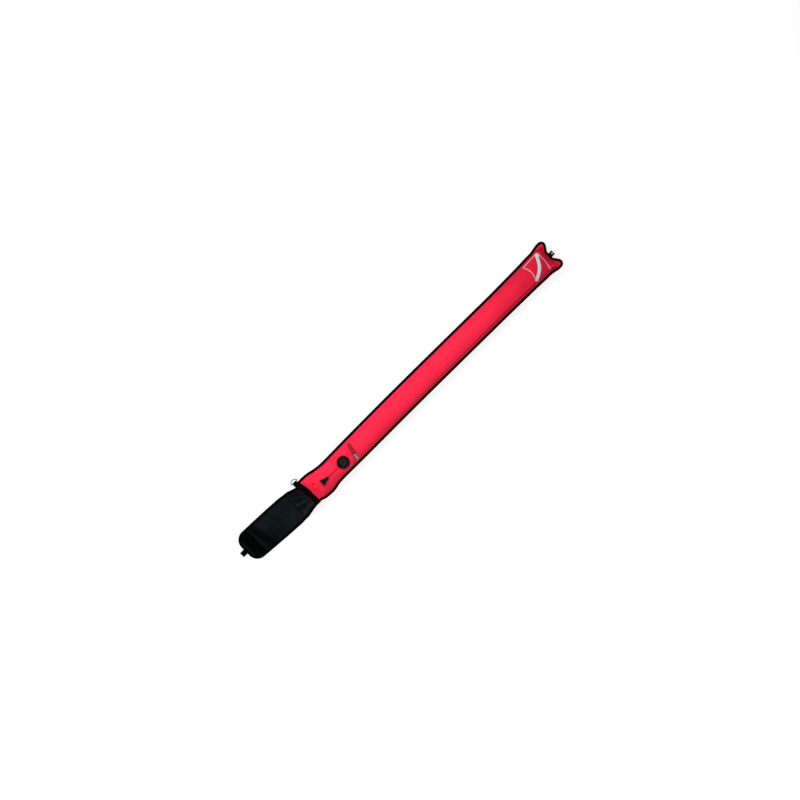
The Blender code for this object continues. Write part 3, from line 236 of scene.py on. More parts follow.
class NodeSheet:
    """Short way to add and join shader nodes in one tree."""

    def __init__(self, tree: Tree) -> None:
        """Keep the tree."""
        self.tree = tree

    def add(self, kind: str, inputs: Optional[dict[str, object]] = None, **settings: object
            ) -> bpy.types.Node:
        """Add a node.

        Args:
            kind: Node type without its ShaderNode prefix.
            inputs: Values or sockets by input name or index.
            **settings: Properties of the node.

        Returns:
            The node.
        """
        node = self.tree.nodes.new("ShaderNode" + kind)
        for name, value in settings.items():
            setattr(node, name, value)
        for name, value in (inputs or {}).items():
            self.feed(node.inputs[name], value)
        return node

    def feed(self, socket: Socket, value: object) -> None:
        """Link a socket to another, or set its value."""
        if isinstance(value, Socket):
            self.tree.links.new(value, socket)
        else:
            socket.default_value = value

    def math(self, operation: str, *values: object) -> Socket:
        """Return the result of a Math node."""
        return self.add("Math", dict(enumerate(values)), operation=operation).outputs[0]

    def hills(self, value: object) -> Socket:
        """Return round hills, one to each whole number of a value."""
        return self.math('ABSOLUTE', self.math('SINE', self.math('MULTIPLY', value, pi)))

    def between(self, factor: object, low: object, high: object) -> Socket:
        """Return a colour mixed from low to high."""
        node = self.add("Mix", data_type='RGBA')
        for name, value in (("Factor_Float", factor), ("A_Color", low), ("B_Color", high)):
            self.feed(next(s for s in node.inputs if s.identifier == name), value)
        return next(s for s in node.outputs if s.identifier == "Result_Color")

    def noise(self, vector: object, scale: float, detail: float = 3.0, rough: float = 0.5) -> Socket:
        """Return a noise value from 0 to 1."""
        node = self.add("TexNoise", {"Vector": vector, "Scale": scale, "Detail": detail, "Roughness": rough})
        return node.outputs["Fac"]

    def ramp(self, value: object, low: float, high: float, to_low: float = 0.0, to_high: float = 1.0
             ) -> Socket:
        """Return a value mapped smoothly from one range to another."""
        node = self.add("MapRange", {"Value": value, "From Min": low, "From Max": high,
                                     "To Min": to_low, "To Max": to_high}, interpolation_type='SMOOTHSTEP')
        return node.outputs["Result"]

    def group(self, tree: Tree, **inputs: object) -> bpy.types.NodeOutputs:
        """Put a shared group in this tree with its own values, and return its outputs."""
        node = self.tree.nodes.new("ShaderNodeGroup")
        node.node_tree = tree
        for name, value in inputs.items():
            self.feed(node.inputs[name], value)
        return node.outputs

    def cloth_map(self) -> Socket:
        """Return the place on the cloth map."""
        return self.add("UVMap", uv_map=CLOTH_MAP).outputs[0]

    def relief(self, height: Socket, strength: float, distance: float) -> Socket:
        """Return the normal of a surface in relief."""
        node = self.add("Bump", {"Height": height, "Strength": strength, "Distance": distance})
        return node.outputs["Normal"]


class EffectGroups:
    """Shader node groups that several finishes share, each built at its first use."""

    @staticmethod
    def _start(name: str, inputs: dict[str, float], outputs: Sequence[str]
               ) -> tuple[NodeSheet, bpy.types.NodeOutputs, bpy.types.NodeInputs]:
        """Begin a group with its sockets.

        Args:
            name: Name of the group.
            inputs: Default of each float input by name, after the place, which every group takes.
            outputs: Names of the float outputs.

        Returns:
            The node sheet, the sockets that come in and the sockets that go out.
        """
        tree = bpy.data.node_groups.new(name, "ShaderNodeTree")
        tree.interface.new_socket(name="Vector", in_out='INPUT', socket_type="NodeSocketVector")
        for label, default in inputs.items():
            socket = tree.interface.new_socket(name=label, in_out='INPUT', socket_type="NodeSocketFloat")
            socket.default_value = default
        for label in outputs:
            tree.interface.new_socket(name=label, in_out='OUTPUT', socket_type="NodeSocketFloat")
        given, result = tree.nodes.new("NodeGroupInput"), tree.nodes.new("NodeGroupOutput")
        return NodeSheet(tree), given.outputs, result.inputs

    @staticmethod
    def _threads(sheet: NodeSheet, given: bpy.types.NodeOutputs) -> tuple[Socket, Socket]:
        """Return the place counted in threads, along and across."""
        part = sheet.add("SeparateXYZ", {"Vector": given["Vector"]}).outputs
        along, across = (sheet.math('DIVIDE', part[axis], given["Pitch"]) for axis in "XY")
        return along, across

    @staticmethod
    def _shade(sheet: NodeSheet, along: Socket, across: Socket, scale: float) -> Socket:
        """Return a shade of its own for each thread."""
        cell = sheet.add("CombineXYZ", {"X": sheet.math('FLOOR', along), "Y": sheet.math('FLOOR', across)})
        return sheet.noise(cell.outputs[0], scale, 1)

    @cached_property
    def plain_weave(self) -> Tree:
        """Over-and-under threads at a pitch: height and a per-thread shade."""
        sheet, given, result = self._start("plain_weave", {"Pitch": 0.0006}, ("Height", "Shade"))
        along, across = self._threads(sheet, given)
        cell = sheet.math('ADD', sheet.math('FLOOR', along), sheet.math('FLOOR', across))
        over = sheet.math('MODULO', sheet.math('ABSOLUTE', cell), 2)
        upper = sheet.math('MULTIPLY', sheet.hills(along), over)
        lower = sheet.math('MULTIPLY', sheet.hills(across), sheet.math('SUBTRACT', 1, over))
        sheet.feed(result["Height"], sheet.math('ADD', upper, lower))
        sheet.feed(result["Shade"], self._shade(sheet, along, across, 0.37))
        return sheet.tree

    @cached_property
    def ribbed_weave(self) -> Tree:
        """Ribs across a tape or webbing with threads in them: height and shade."""
        sheet, given, result = self._start("ribbed_weave", {"Pitch": 0.0012}, ("Height", "Shade"))
        along, across = self._threads(sheet, given)
        folded = sheet.math('FRACT', sheet.math('MULTIPLY', across, 0.5))
        zigzag = sheet.math('ABSOLUTE', sheet.math('SUBTRACT', folded, 0.5))
        slanted = sheet.math('ADD', along, sheet.math('MULTIPLY', zigzag, 1.6))
        rib = sheet.math('MULTIPLY', sheet.hills(slanted), 0.65)
        groove = sheet.math('MULTIPLY', sheet.hills(across), 0.35)
        sheet.feed(result["Height"], sheet.math('ADD', rib, groove))
        sheet.feed(result["Shade"], self._shade(sheet, slanted, across, 0.41))
        return sheet.tree

    @cached_property
    def moulded_grain(self) -> Tree:
        """Fine moulded surface with faint flow marks: height and smudges."""
        sheet, given, result = self._start("moulded_grain", {"Scale": 1800}, ("Height", "Smudge"))
        sheet.feed(result["Height"], sheet.noise(given["Vector"], given["Scale"], 2))
        sheet.feed(result["Smudge"], sheet.noise(given["Vector"], 90, 4, 0.6))
        return sheet.tree

    @cached_property
    def edge_wear(self) -> Tree:
        """Where edges are rubbed, broken up by noise."""
        sheet, given, result = self._start("edge_wear", {"Pointiness": 0.5, "Amount": 0.5}, ("Wear",))
        edge = sheet.ramp(given["Pointiness"], 0.52, 0.6)
        patch = sheet.ramp(sheet.noise(given["Vector"], 260, 4, 0.6), 0.35, 0.75)
        rubbed = sheet.math('MULTIPLY', edge, patch)
        sheet.feed(result["Wear"], sheet.math('MULTIPLY', rubbed, given["Amount"]))
        return sheet.tree


EFFECTS = EffectGroups()


# Finishes

@dataclass(frozen=True)
class Finish:
    """What every finish has: a name, its colour and how matt it is."""

    name: str
    colour: Colour
    roughness: float

    def looks(self, sheet: NodeSheet, place: Socket) -> dict[str, object]:
        """Return values or sockets for the shader by input name; place is the point on the piece."""
        raise NotImplementedError

    def build(self) -> Material:
        """Return the material."""
        material = bpy.data.materials.new(self.name)
        material.use_nodes = True
        material.diffuse_color = (*self.colour, 1)
        sheet = NodeSheet(material.node_tree)
        shader = material.node_tree.nodes["Principled BSDF"]
        looks = self.looks(sheet, sheet.add("TexCoord").outputs["Object"])
        for name, value in {"Roughness": self.roughness, **looks}.items():
            sheet.feed(shader.inputs[name], value)
        return material

    def _scaled(self, factor: float) -> tuple[float, float, float, float]:
        """Return the colour times a factor, as a shader takes it."""
        return (*(min(1, c * factor) for c in self.colour), 1)

    @staticmethod
    def _worn(sheet: NodeSheet, place: Socket, colour: Socket, worn: Colour, amount: float) -> Socket:
        """Return a colour with its edges rubbed."""
        point = sheet.add("NewGeometry").outputs["Pointiness"]
        wear = sheet.group(EFFECTS.edge_wear, Vector=place, Pointiness=point, Amount=amount)
        return sheet.between(wear["Wear"], colour, (*worn, 1))


class Weave(Enum):
    """How a cloth is woven."""

    PLAIN = "plain"
    RIBBED = "ribbed"


@dataclass(frozen=True)
class ClothFinish(Finish):
    """Woven cloth on its UV map, plain or ribbed, with broad and fine changes of tone, and painted light and
    shade where a sheet has a tone attribute.
    """

    weave: Weave = Weave.PLAIN
    pitch: float = 0.0006
    depth: float = 0.00006
    specular: float = 0.4
    mottling: float = 0.06
    rub: Optional[Colour] = None
    painted_tone_colours: Optional[tuple[Colour, Colour]] = None       # painted shade colour where the cloth's tone is 0, painted light colour where it is 1

    def looks(self, sheet: NodeSheet, place: Socket) -> dict[str, object]:
        """Return threads in a mottled colour, rubbed at the edges, under the painted light and shade of the
        cloth's tone.
        """
        tree = EFFECTS.plain_weave if self.weave is Weave.PLAIN else EFFECTS.ribbed_weave
        weave = sheet.group(tree, Vector=sheet.cloth_map(), Pitch=self.pitch)
        broad = sheet.ramp(sheet.noise(place, 14, 4, 0.55), 0.3, 0.7)
        colour = sheet.between(broad, self._scaled(1 - self.mottling), self._scaled(1 + self.mottling))
        colour = sheet.between(sheet.ramp(weave["Shade"], 0.3, 0.7, 0, 0.35), colour, self._scaled(0.86))
        if self.rub is not None:
            colour = self._worn(sheet, place, colour, self.rub, 0.5)
        if self.painted_tone_colours is not None:
            # Painted shade where the tone is below 0.5, painted light above it.
            tone = sheet.add("Attribute", attribute_name=PAINTED_LIGHT_AND_SHADE).outputs["Fac"]
            colour = sheet.between(sheet.ramp(tone, 0, 0.5), (*self.painted_tone_colours[0], 1), colour)
            colour = sheet.between(sheet.ramp(tone, 0.5, 1), colour, (*self.painted_tone_colours[1], 1))
        patch = sheet.noise(place, 60, 3, 0.5)
        return {"Base Color": colour, "Specular IOR Level": self.specular,
                "Roughness": sheet.ramp(patch, 0.25, 0.75, self.roughness - 0.06, self.roughness + 0.08),
                "Normal": sheet.relief(weave["Height"], 0.7, self.depth)}


@dataclass(frozen=True)
class PileFinish(Finish):
    """Hook or loop pile: speckled and very matt."""

    pitch: float = 0.0016

    def looks(self, sheet: NodeSheet, place: Socket) -> dict[str, object]:
        """Return specks of pile and their fuzz."""
        cells = sheet.add("TexVoronoi", {"Vector": place, "Scale": 1 / self.pitch})
        speck = sheet.ramp(cells.outputs["Distance"], 0.1, 0.6)
        height = sheet.math('ADD', sheet.noise(place, 2600, 2), speck)
        return {"Base Color": sheet.between(speck, self._scaled(1.7), self._scaled(0.6)),
                "Specular IOR Level": 0.02, "Normal": sheet.relief(height, 0.8, 0.0004)}


@dataclass(frozen=True)
class MouldedFinish(Finish):
    """Moulded plastic or rubber with fine grain, smudges and rubbed edges."""

    grain: float = 1800.0
    depth: float = 0.00004
    specular: float = 0.5
    coat: float = 0.0
    worn: Colour = (0.05, 0.055, 0.06)
    wear: float = 0.5
    paler: Optional[tuple[Pair, float, Colour]] = None      # middle, radius and colour of a paler round place

    def looks(self, sheet: NodeSheet, place: Socket) -> dict[str, object]:
        """Return grain and smudges, with a paler round place and rubbed edges."""
        grain = sheet.group(EFFECTS.moulded_grain, Vector=place, Scale=self.grain)
        smudge = grain["Smudge"]
        colour = sheet.between(sheet.ramp(smudge, 0.3, 0.7), self._scaled(0.85), self._scaled(1.15))
        if self.paler is not None:
            (x, y), reach, paler_colour = self.paler
            centred = sheet.add("Mapping", {"Vector": place, "Location": (-x, -y, 0)}).outputs[0]
            flat = sheet.add("VectorMath", {0: centred, 1: (1, 1, 0)}, operation='MULTIPLY').outputs[0]
            away = sheet.add("VectorMath", {0: flat}, operation='LENGTH').outputs["Value"]
            uneven = sheet.math('MULTIPLY', sheet.math('SUBTRACT', smudge, 0.5), reach * 0.5)
            ragged = sheet.ramp(sheet.math('ADD', away, uneven), reach * 1.08, reach * 0.92)
            colour = sheet.between(ragged, colour, (*paler_colour, 1))
        return {"Base Color": self._worn(sheet, place, colour, self.worn, self.wear),
                "Roughness": sheet.ramp(smudge, 0.3, 0.7, self.roughness - 0.05, self.roughness + 0.08),
                "Specular IOR Level": self.specular, "Coat Weight": self.coat, "Coat Roughness": 0.12,
                "Normal": sheet.relief(grain["Height"], 0.5, self.depth)}


@dataclass(frozen=True)
class MetalFinish(Finish):
    """Plated or polished metal with fine scratches and smudges."""

    brushed: float = 0.3

    def looks(self, sheet: NodeSheet, place: Socket) -> dict[str, object]:
        """Return smudged metal with long scratches."""
        stretch = sheet.add("Mapping", {"Vector": place, "Scale": (300, 300, 4000)}).outputs[0]
        smudge = sheet.noise(place, 160, 4, 0.6)
        tone = sheet.ramp(smudge, 0.35, 0.7)
        return {"Base Color": sheet.between(tone, self._scaled(1), self._scaled(0.82)), "Metallic": 1,
                "Roughness": sheet.ramp(smudge, 0.3, 0.75, self.roughness, self.roughness + 0.14),
                "Normal": sheet.relief(sheet.noise(stretch, 1, 3, 0.7), self.brushed, 0.00002)}


@dataclass(frozen=True)
class BraidFinish(Finish):
    """Braided cord or twisted thread on its UV map."""

    pitch: float = 0.0009

    def looks(self, sheet: NodeSheet, place: Socket) -> dict[str, object]:
        """Return threads that cross at a slant."""
        slant = {"Vector": sheet.cloth_map(), "Rotation": (0, 0, radians(45))}
        turned = sheet.add("Mapping", slant).outputs[0]
        weave = sheet.group(EFFECTS.plain_weave, Vector=turned, Pitch=self.pitch)
        return {"Base Color": sheet.between(weave["Shade"], self._scaled(0.6), self._scaled(1.5)),
                "Specular IOR Level": 0.04, "Normal": sheet.relief(weave["Height"], 0.8, 0.0002)}


@dataclass(frozen=True)
class PrintFinish(Finish):
    """Reflective print on cloth: grey beads over the weave, thin in places."""

    def looks(self, sheet: NodeSheet, place: Socket) -> dict[str, object]:
        """Return beads over the cloth's threads."""
        weave = sheet.group(EFFECTS.plain_weave, Vector=sheet.cloth_map(), Pitch=0.0006)
        bead = sheet.add("TexVoronoi", {"Vector": place, "Scale": 5000}).outputs["Distance"]
        tone = sheet.ramp(sheet.noise(place, 70, 4, 0.6), 0.3, 0.75)
        colour = sheet.between(tone, self._scaled(1.06), self._scaled(0.88))
        height = sheet.math('ADD', sheet.math('MULTIPLY', bead, 0.4), weave["Height"])
        return {"Base Color": sheet.between(sheet.ramp(bead, 0.2, 0.7, 0, 0.2), colour, self._scaled(0.7)),
                "Specular IOR Level": 0.6, "Normal": sheet.relief(height, 0.5, 0.00005)}


class Palette:
    """Every finish of the buoy, built as a material."""

    def __init__(self) -> None:
        """Build every material."""
        # Tone colours: painted shade in creases, under the band and towards the top end, and painted light on
        # crease banks.
        self.red_nylon = ClothFinish(
            "red_coated_nylon", (0.9, 0.019, 0.06), 0.6, depth=0.00004, specular=0.05, mottling=0.05,
            painted_tone_colours=((0.34, 0.0012, 0.015), (1, 0.03, 0.075))).build()
        self.black_tape = ClothFinish(
            "black_edge_tape", (0.0008, 0.0008, 0.0009), 0.85, Weave.RIBBED, pitch=0.0011, depth=0.00014,
            specular=0.01, mottling=0.2, rub=(0.003, 0.003, 0.0033)).build()
        self.webbing = ClothFinish(
            "black_webbing", (0.0011, 0.0012, 0.0013), 0.82, Weave.RIBBED, pitch=0.0018, depth=0.0003,
            specular=0.015, mottling=0.2, rub=(0.004, 0.004, 0.0045)).build()
        # Tone colours: painted shade between the folds and painted light on their crests.
        self.black_nylon = ClothFinish(
            "black_coated_nylon", (0.005, 0.0072, 0.0087), 0.6, pitch=0.0007, specular=0.012, mottling=0.15,
            painted_tone_colours=((0.0006, 0.0015, 0.0017), (0.0135, 0.02, 0.0232))).build()
        self.hook = PileFinish("hook_pile", (0.0007, 0.0007, 0.0008), 0.95).build()
        self.loop = PileFinish("loop_pile", (0.0014, 0.0014, 0.0016), 0.95, pitch=0.0011).build()
        self.thread = BraidFinish("black_thread", (0.0016, 0.0016, 0.0018), 0.75, pitch=0.0004).build()
        self.plastic = MouldedFinish("black_moulded_plastic", (0.0012, 0.0016, 0.0018), 0.4, specular=0.05,
                                     worn=(0.01, 0.011, 0.012)).build()
        self.cap_plastic = MouldedFinish(
            "black_cap_plastic", (0.0014, 0.0018, 0.002), 0.42, specular=0.06, worn=(0.01, 0.011, 0.012),
            paler=((-0.5116, -0.0054), 0.0145, (0.0085, 0.014, 0.0155))).build()
        self.knob_plastic = MouldedFinish("black_knob_plastic", (0.0012, 0.0016, 0.0018), 0.24, specular=0.14,
                                          worn=(0.014, 0.016, 0.018)).build()
        self.seal_rubber = MouldedFinish("red_seal_rubber", (0.85, 0.03, 0.09), 0.5, grain=900.0,
                                         specular=0.1, worn=(0.8, 0.05, 0.1), wear=0.2).build()
        self.hose_rubber = MouldedFinish("red_hose_rubber", (0.31, 0.009, 0.016), 0.38, grain=700.0,
                                         specular=0.08, coat=0.03, worn=(0.42, 0.02, 0.03), wear=0.3).build()
        self.chrome = MetalFinish("plated_chrome", (0.27, 0.33, 0.34), 0.14, brushed=0.15).build()
        self.steel = MetalFinish("polished_steel", (0.08, 0.098, 0.098), 0.24).build()
        self.dull_steel = MouldedFinish("dull_ring_wire", (0.012, 0.013, 0.013), 0.42, grain=500.0,
                                        specular=0.08, worn=(0.04, 0.04, 0.04), wear=0.2).build()
        self.cord = BraidFinish("dark_braided_cord", (0.013, 0.006, 0.007), 0.75).build()
        self.reflective = PrintFinish("reflective_print", (0.6, 0.64, 0.66), 0.45).build()


# Meshes

def linked(name: str, data: bpy.types.ID) -> Piece:
    """Put a mesh, lamp or camera in the scene."""
    thing = bpy.data.objects.new(name, data)
    bpy.context.scene.collection.objects.link(thing)
    return thing


def finished(name: str, bm: BMesh, material: Material, angle: float = 40.0) -> Piece:
    """Turn a bmesh into a shaded object in the scene."""
    mesh = bpy.data.meshes.new(name)
    bm.to_mesh(mesh)
    bm.free()
    mesh.materials.append(material)
    mesh.shade_smooth()
    mesh.set_sharp_from_angle(angle=radians(angle))
    return linked(name, mesh)


def fitted(name: str, bm: BMesh, material: Material, body: str, slot: str, *nodes: str,
           angle: float = 40.0) -> Piece:
    """Turn a bmesh into a piece that rides on its body and stands for its solids."""
    return placed(finished(name, bm, material, angle), body, slot, *nodes)


def laid_grid(rows: int, columns: int, place: Callable[[int, int], Vector],
              pattern: Callable[[int, int], Pair], closed: bool = False) -> BMesh:
    """Lay a grid over a surface.

    Args:
        rows: Cells along the piece.
        columns: Cells across it.
        place: Gives the place of grid point i, j.
        pattern: Gives the cloth map in metres at i, j.
        closed: Whether the last column meets the first.

    Returns:
        The bmesh, its seam welded where closed.
    """
    bm = bmesh.new()
    bmesh.ops.create_grid(bm, x_segments=rows, y_segments=columns, size=1.0)
    layer = bm.loops.layers.uv.new(CLOTH_MAP)
    index = {vert: (round((vert.co.x + 1) / 2 * rows), round((vert.co.y + 1) / 2 * columns))
             for vert in bm.verts}
    for face in bm.faces:
        for loop in face.loops:
            loop[layer].uv = pattern(*index[loop.vert])
    for vert, (i, j) in index.items():
        vert.co = place(i, j % columns if closed else j)
    if closed:
        bmesh.ops.remove_doubles(bm, verts=bm.verts, dist=1e-7)
    bm.normal_update()
    return bm


def paint_light_and_shade(bm: BMesh, tone: Callable[[Vector], float]) -> BMesh:
    """Give every point of a sheet its tone of painted light and shade, kept between 0 and 1."""
    layer = bm.verts.layers.float.new(PAINTED_LIGHT_AND_SHADE)
    for vert in bm.verts:
        vert[layer] = clamp(tone(vert.co))
    return bm


def faced(bm: BMesh, up: float = 1.0) -> BMesh:
    """Turn an open sheet so that its faces look up, or down at -1."""
    if sum(face.normal.z for face in bm.faces) * up < 0:
        bmesh.ops.reverse_faces(bm, faces=bm.faces)
    return bm


def filled(bm: BMesh) -> BMesh:
    """Close the ends of a body and turn its faces outwards."""
    bmesh.ops.holes_fill(bm, edges=[edge for edge in bm.edges if edge.is_boundary])
    bmesh.ops.recalc_face_normals(bm, faces=bm.faces)
    return bm


def swept(points: Sequence[Vector], normals: Sequence[Vector], profile: Sequence[Pair],
          hoop: bool = False) -> BMesh:
    """Sweep a closed outline along a path, mitred at every point, with both ends filled.

    Args:
        points: Path of the sweep.
        normals: Direction of the outline's second axis at each point.
        profile: Outline; its first axis lies to the left of the path, seen with the normal to the eye.
        hoop: Whether the path's last point is its first, so that the sweep closes on itself.

    Returns:
        The bmesh, mapped by length along and across.
    """
    rings = []
    last = len(points) - 1
    for k, point in enumerate(points):
        before = point - points[k - 1 if k else -2] if k or hoop else points[1] - point
        after = points[k + 1 if k < last else 1] - point if k < last or hoop else before
        normal = normals[k].normalized()
        side_a = normal.cross(before).normalized()
        side_b = normal.cross(after).normalized()
        mitre = (side_a + side_b) / (1 + side_a.dot(side_b))
        rings.append([point + mitre * w + normal * n for w, n in profile])
    lengths = lengths_along(points)
    girth = [0]
    for a, b in zip(profile, [*profile[1:], profile[0]]):
        girth.append(girth[-1] + dist(a, b))
    return filled(laid_grid(last, len(profile), lambda i, j: rings[i][j],
                            lambda i, j: (lengths[i], girth[j]), closed=True))


def tube_along(points: Sequence[Vector], radius: Callable[[float], float], sides: int,
               out_of: Callable[[float, float], float] = lambda share, angle: 1.0) -> BMesh:
    """Make a round body along a path.

    Args:
        points: Path of its middle.
        radius: Radius at a share of the path's length.
        sides: Faces round the body.
        out_of: Factor on the radius at a share and an angle, for ribs and lobes.

    Returns:
        The closed bmesh, mapped by length along and girth.
    """
    count = len(points) - 1
    side = Vector((0, 1, 0))
    rings = []
    for k, point in enumerate(points):
        along = (points[min(count, k + 1)] - points[max(0, k - 1)]).normalized()
        side = (side - along * side.dot(along)).normalized()
        up = along.cross(side)
        share = k / count
        ring = []
        for m in range(sides):
            angle = 2 * pi * m / sides
            size = radius(share) * out_of(share, angle)
            ring.append(point + (side * cos(angle) + up * sin(angle)) * size)
        rings.append(ring)
    lengths = lengths_along(points)
    around = 2 * pi * radius(0.5) / sides
    return filled(laid_grid(count, sides, lambda i, j: rings[i][j], lambda i, j: (lengths[i], around * j),
                            closed=True))


def folded_tape(inner: float, tape: float, width: float, clear: float) -> list[Pair]:
    """Return the outline of a tape folded over an edge.

    Args:
        inner: Half thickness inside the fold.
        tape: Thickness of the tape.
        width: How far it reaches in from the edge.
        clear: Room between the edge and the fold.

    Returns:
        The outline, its first axis to the left of the path.
    """
    outer = inner + tape
    fold = [(-clear - tape, -outer * 0.55), (-clear - tape * 0.55, -outer)]
    return (fold + [(width - 0.0004, -outer), (width, -outer + 0.0003), (width, -inner), (-clear, -inner),
                    (-clear, inner), (width, inner), (width, outer - 0.0003), (width - 0.0004, outer)]
            + [(w, -n) for w, n in reversed(fold)])


def strap(width: float, thickness: float) -> list[Pair]:
    """Return the outline of a webbing strap with softly rounded edges."""
    half, thin = width / 2, thickness / 2
    return rounded([(half, -thin), (half, thin), (-half, thin), (-half, -thin)], thickness * 0.45, 3)


def spun(profile: Sequence[Pair], steps: int, place: Matrix, closed: bool = True) -> BMesh:
    """Turn a (radius, height) outline round Z and put it in its place."""
    bm = bmesh.new()
    verts = [bm.verts.new((max(0, r), 0, z)) for r, z in profile]
    pairs = list(zip(verts, verts[1:]))
    if closed:
        pairs.append((verts[-1], verts[0]))
    edges = [bm.edges.new(pair) for pair in pairs]
    bmesh.ops.spin(bm, geom=verts + edges, axis=(0, 0, 1), cent=(0, 0, 0), angle=2.0 * pi,
                   steps=steps, use_merge=True)
    bmesh.ops.remove_doubles(bm, verts=bm.verts, dist=1e-7)
    bmesh.ops.recalc_face_normals(bm, faces=bm.faces)
    bmesh.ops.transform(bm, matrix=place, verts=bm.verts)
    return bm


def joined(parts: Iterable[BMesh]) -> BMesh:
    """Gather several bmeshes into one."""
    whole = bmesh.new()
    whole.loops.layers.uv.new(CLOTH_MAP)
    for part in parts:
        mesh = bpy.data.meshes.new("part")
        part.to_mesh(mesh)
        part.free()
        whole.from_mesh(mesh)
        bpy.data.meshes.remove(mesh)
    return whole


def block(size: tuple[float, float, float], place: Matrix, round_off: float, segments: int) -> BMesh:
    """Return a box with rounded edges."""
    bm = bmesh.new()
    bmesh.ops.create_cube(bm, size=1.0)
    bmesh.ops.scale(bm, vec=size, verts=bm.verts)
    bmesh.ops.bevel(bm, geom=bm.edges, offset=round_off, segments=segments, affect='EDGES', profile=0.5,
                    material=-1)
    bmesh.ops.transform(bm, matrix=place, verts=bm.verts)
    return bm


@dataclass(frozen=True)
class Thread:
    """Sewing thread: length of a stitch, distance between stitches and thickness."""

    stitch: float = 0.003
    pitch: float = 0.004
    thickness: float = 0.00055

    def row(self, path: Sequence[Vector], normal: Callable[[Vector], Vector] = lambda _: UP) -> BMesh:
        """Return a row of stitches along a path, each a small flattened bead."""
        parts: list[BMesh] = []
        points = resample(path, self.pitch)
        for k, (a, b) in enumerate(zip(points, points[1:])):
            if k % 24 == 0:
                parts.append(bmesh.new())
            along = (b - a).normalized()
            up = normal((a + b) / 2)
            side = up.cross(along).normalized()
            up = along.cross(side)
            turn = Matrix((along, side, up)).transposed().to_4x4()
            shape = Matrix.Diagonal((self.stitch / 2, self.thickness / 2, self.thickness / 2.6, 1))
            bmesh.ops.create_uvsphere(parts[-1], u_segments=6, v_segments=4, radius=1.0,
                                      matrix=Matrix.Translation((a + b) / 2) @ turn @ shape)
        return joined(parts)

    def both_faces(self, lines: Sequence[Sequence[Pair]], off: float) -> BMesh:
        """Return rows along flat lines, above and below the seam's height by the same distance."""
        rows = []
        for face in (1, -1):
            for line in lines:
                path = [Vector((x, y, SHAPE.z_seam + face * off)) for x, y in line]
                rows.append(self.row(path, lambda _, f=face: UP * f))
        return joined(rows)


FINE_THREAD = Thread(stitch=0.0022, pitch=0.0029, thickness=0.0006)


def with_wall(piece: Piece, thickness: float, offset: float = -1.0) -> Piece:
    """Give an open sheet its thickness."""
    wall = piece.modifiers.new("cloth", 'SOLIDIFY')
    wall.thickness = thickness
    wall.offset = offset
    return piece


def apply_all(piece: Piece) -> Piece:
    """Apply every modifier of a piece."""
    graph = bpy.context.evaluated_depsgraph_get()
    mesh = bpy.data.meshes.new_from_object(piece.evaluated_get(graph))
    piece.modifiers.clear()
    piece.data = mesh
    return piece


def cut_out(piece: Piece, cutters: Sequence[BMesh]) -> Piece:
    """Cut closed shapes out of a piece and apply the result."""
    held = []
    for k, bm in enumerate(cutters):
        cutter = finished(f"{piece.name}_cutter_{k}", bm, piece.data.materials[0])
        held.append(cutter)
        modifier = piece.modifiers.new(cutter.name, 'BOOLEAN')
        modifier.object = cutter
        modifier.operation = 'DIFFERENCE'
        modifier.solver = 'EXACT'
    apply_all(piece)
    for cutter in held:
        bpy.data.objects.remove(cutter, do_unlink=True)
    return piece


def rod(radius: float, depth: float, place: Matrix, segments: int = 32) -> BMesh:
    """Return a closed round cutter along Z."""
    bm = bmesh.new()
    bmesh.ops.create_cone(bm, cap_ends=True, segments=segments, radius1=radius, radius2=radius, depth=depth)
    bmesh.ops.transform(bm, matrix=place, verts=bm.verts)
    return bm


def placed(piece: Piece, body: str, slot: str, *nodes: str) -> Piece:
    """Let a piece ride on its body and stand for its solids."""
    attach(piece, body)
    if nodes:
        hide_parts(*nodes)
    LOG.info("%s rides on %s", piece.name, body)
    return piece


def bending(piece: Piece, bodies: Sequence[str], start: Vector, end: Vector, slot: str,
            *nodes: str) -> None:
    """Let a piece stand for its solids, with its place baked into its mesh."""
    if nodes:
        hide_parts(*nodes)
    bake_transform(piece)
    LOG.info("%s bends from %s to %s", piece.name, *bodies)


# Shape of the inflated tube

@dataclass(frozen=True)
class Crease:
    """A soft fold in cloth along a line of (x, y) points."""

    line: tuple[Pair, ...]
    depth: float
    width: float
    shade: float = 0.3              # painted shade: fall of the cloth's tone in the crease

    def at(self, x: float, y: float) -> float:
        """Return how far the cloth is pushed out of its face here, with a low bank on one side."""
        least, along, side = 1, 0, 0
        count = len(self.line) - 1
        for k, ((ax, ay), (bx, by)) in enumerate(zip(self.line, self.line[1:])):
            dx, dy = bx - ax, by - ay
            t = clamp(((x - ax) * dx + (y - ay) * dy) / (dx * dx + dy * dy))
            ex, ey = x - ax - t * dx, y - ay - t * dy
            away = hypot(ex, ey)
            if away < least:
                least, along = away, (k + t) / count
                side = away if dx * ey - dy * ex > 0 else -away
        if least > 4 * self.width or not 0 < along < 1:
            return 0
        fade = sin(pi * along) ** 0.6
        return self.depth * fade * (0.8 * bump(side - 1.3 * self.width, self.width) - bump(side, self.width))


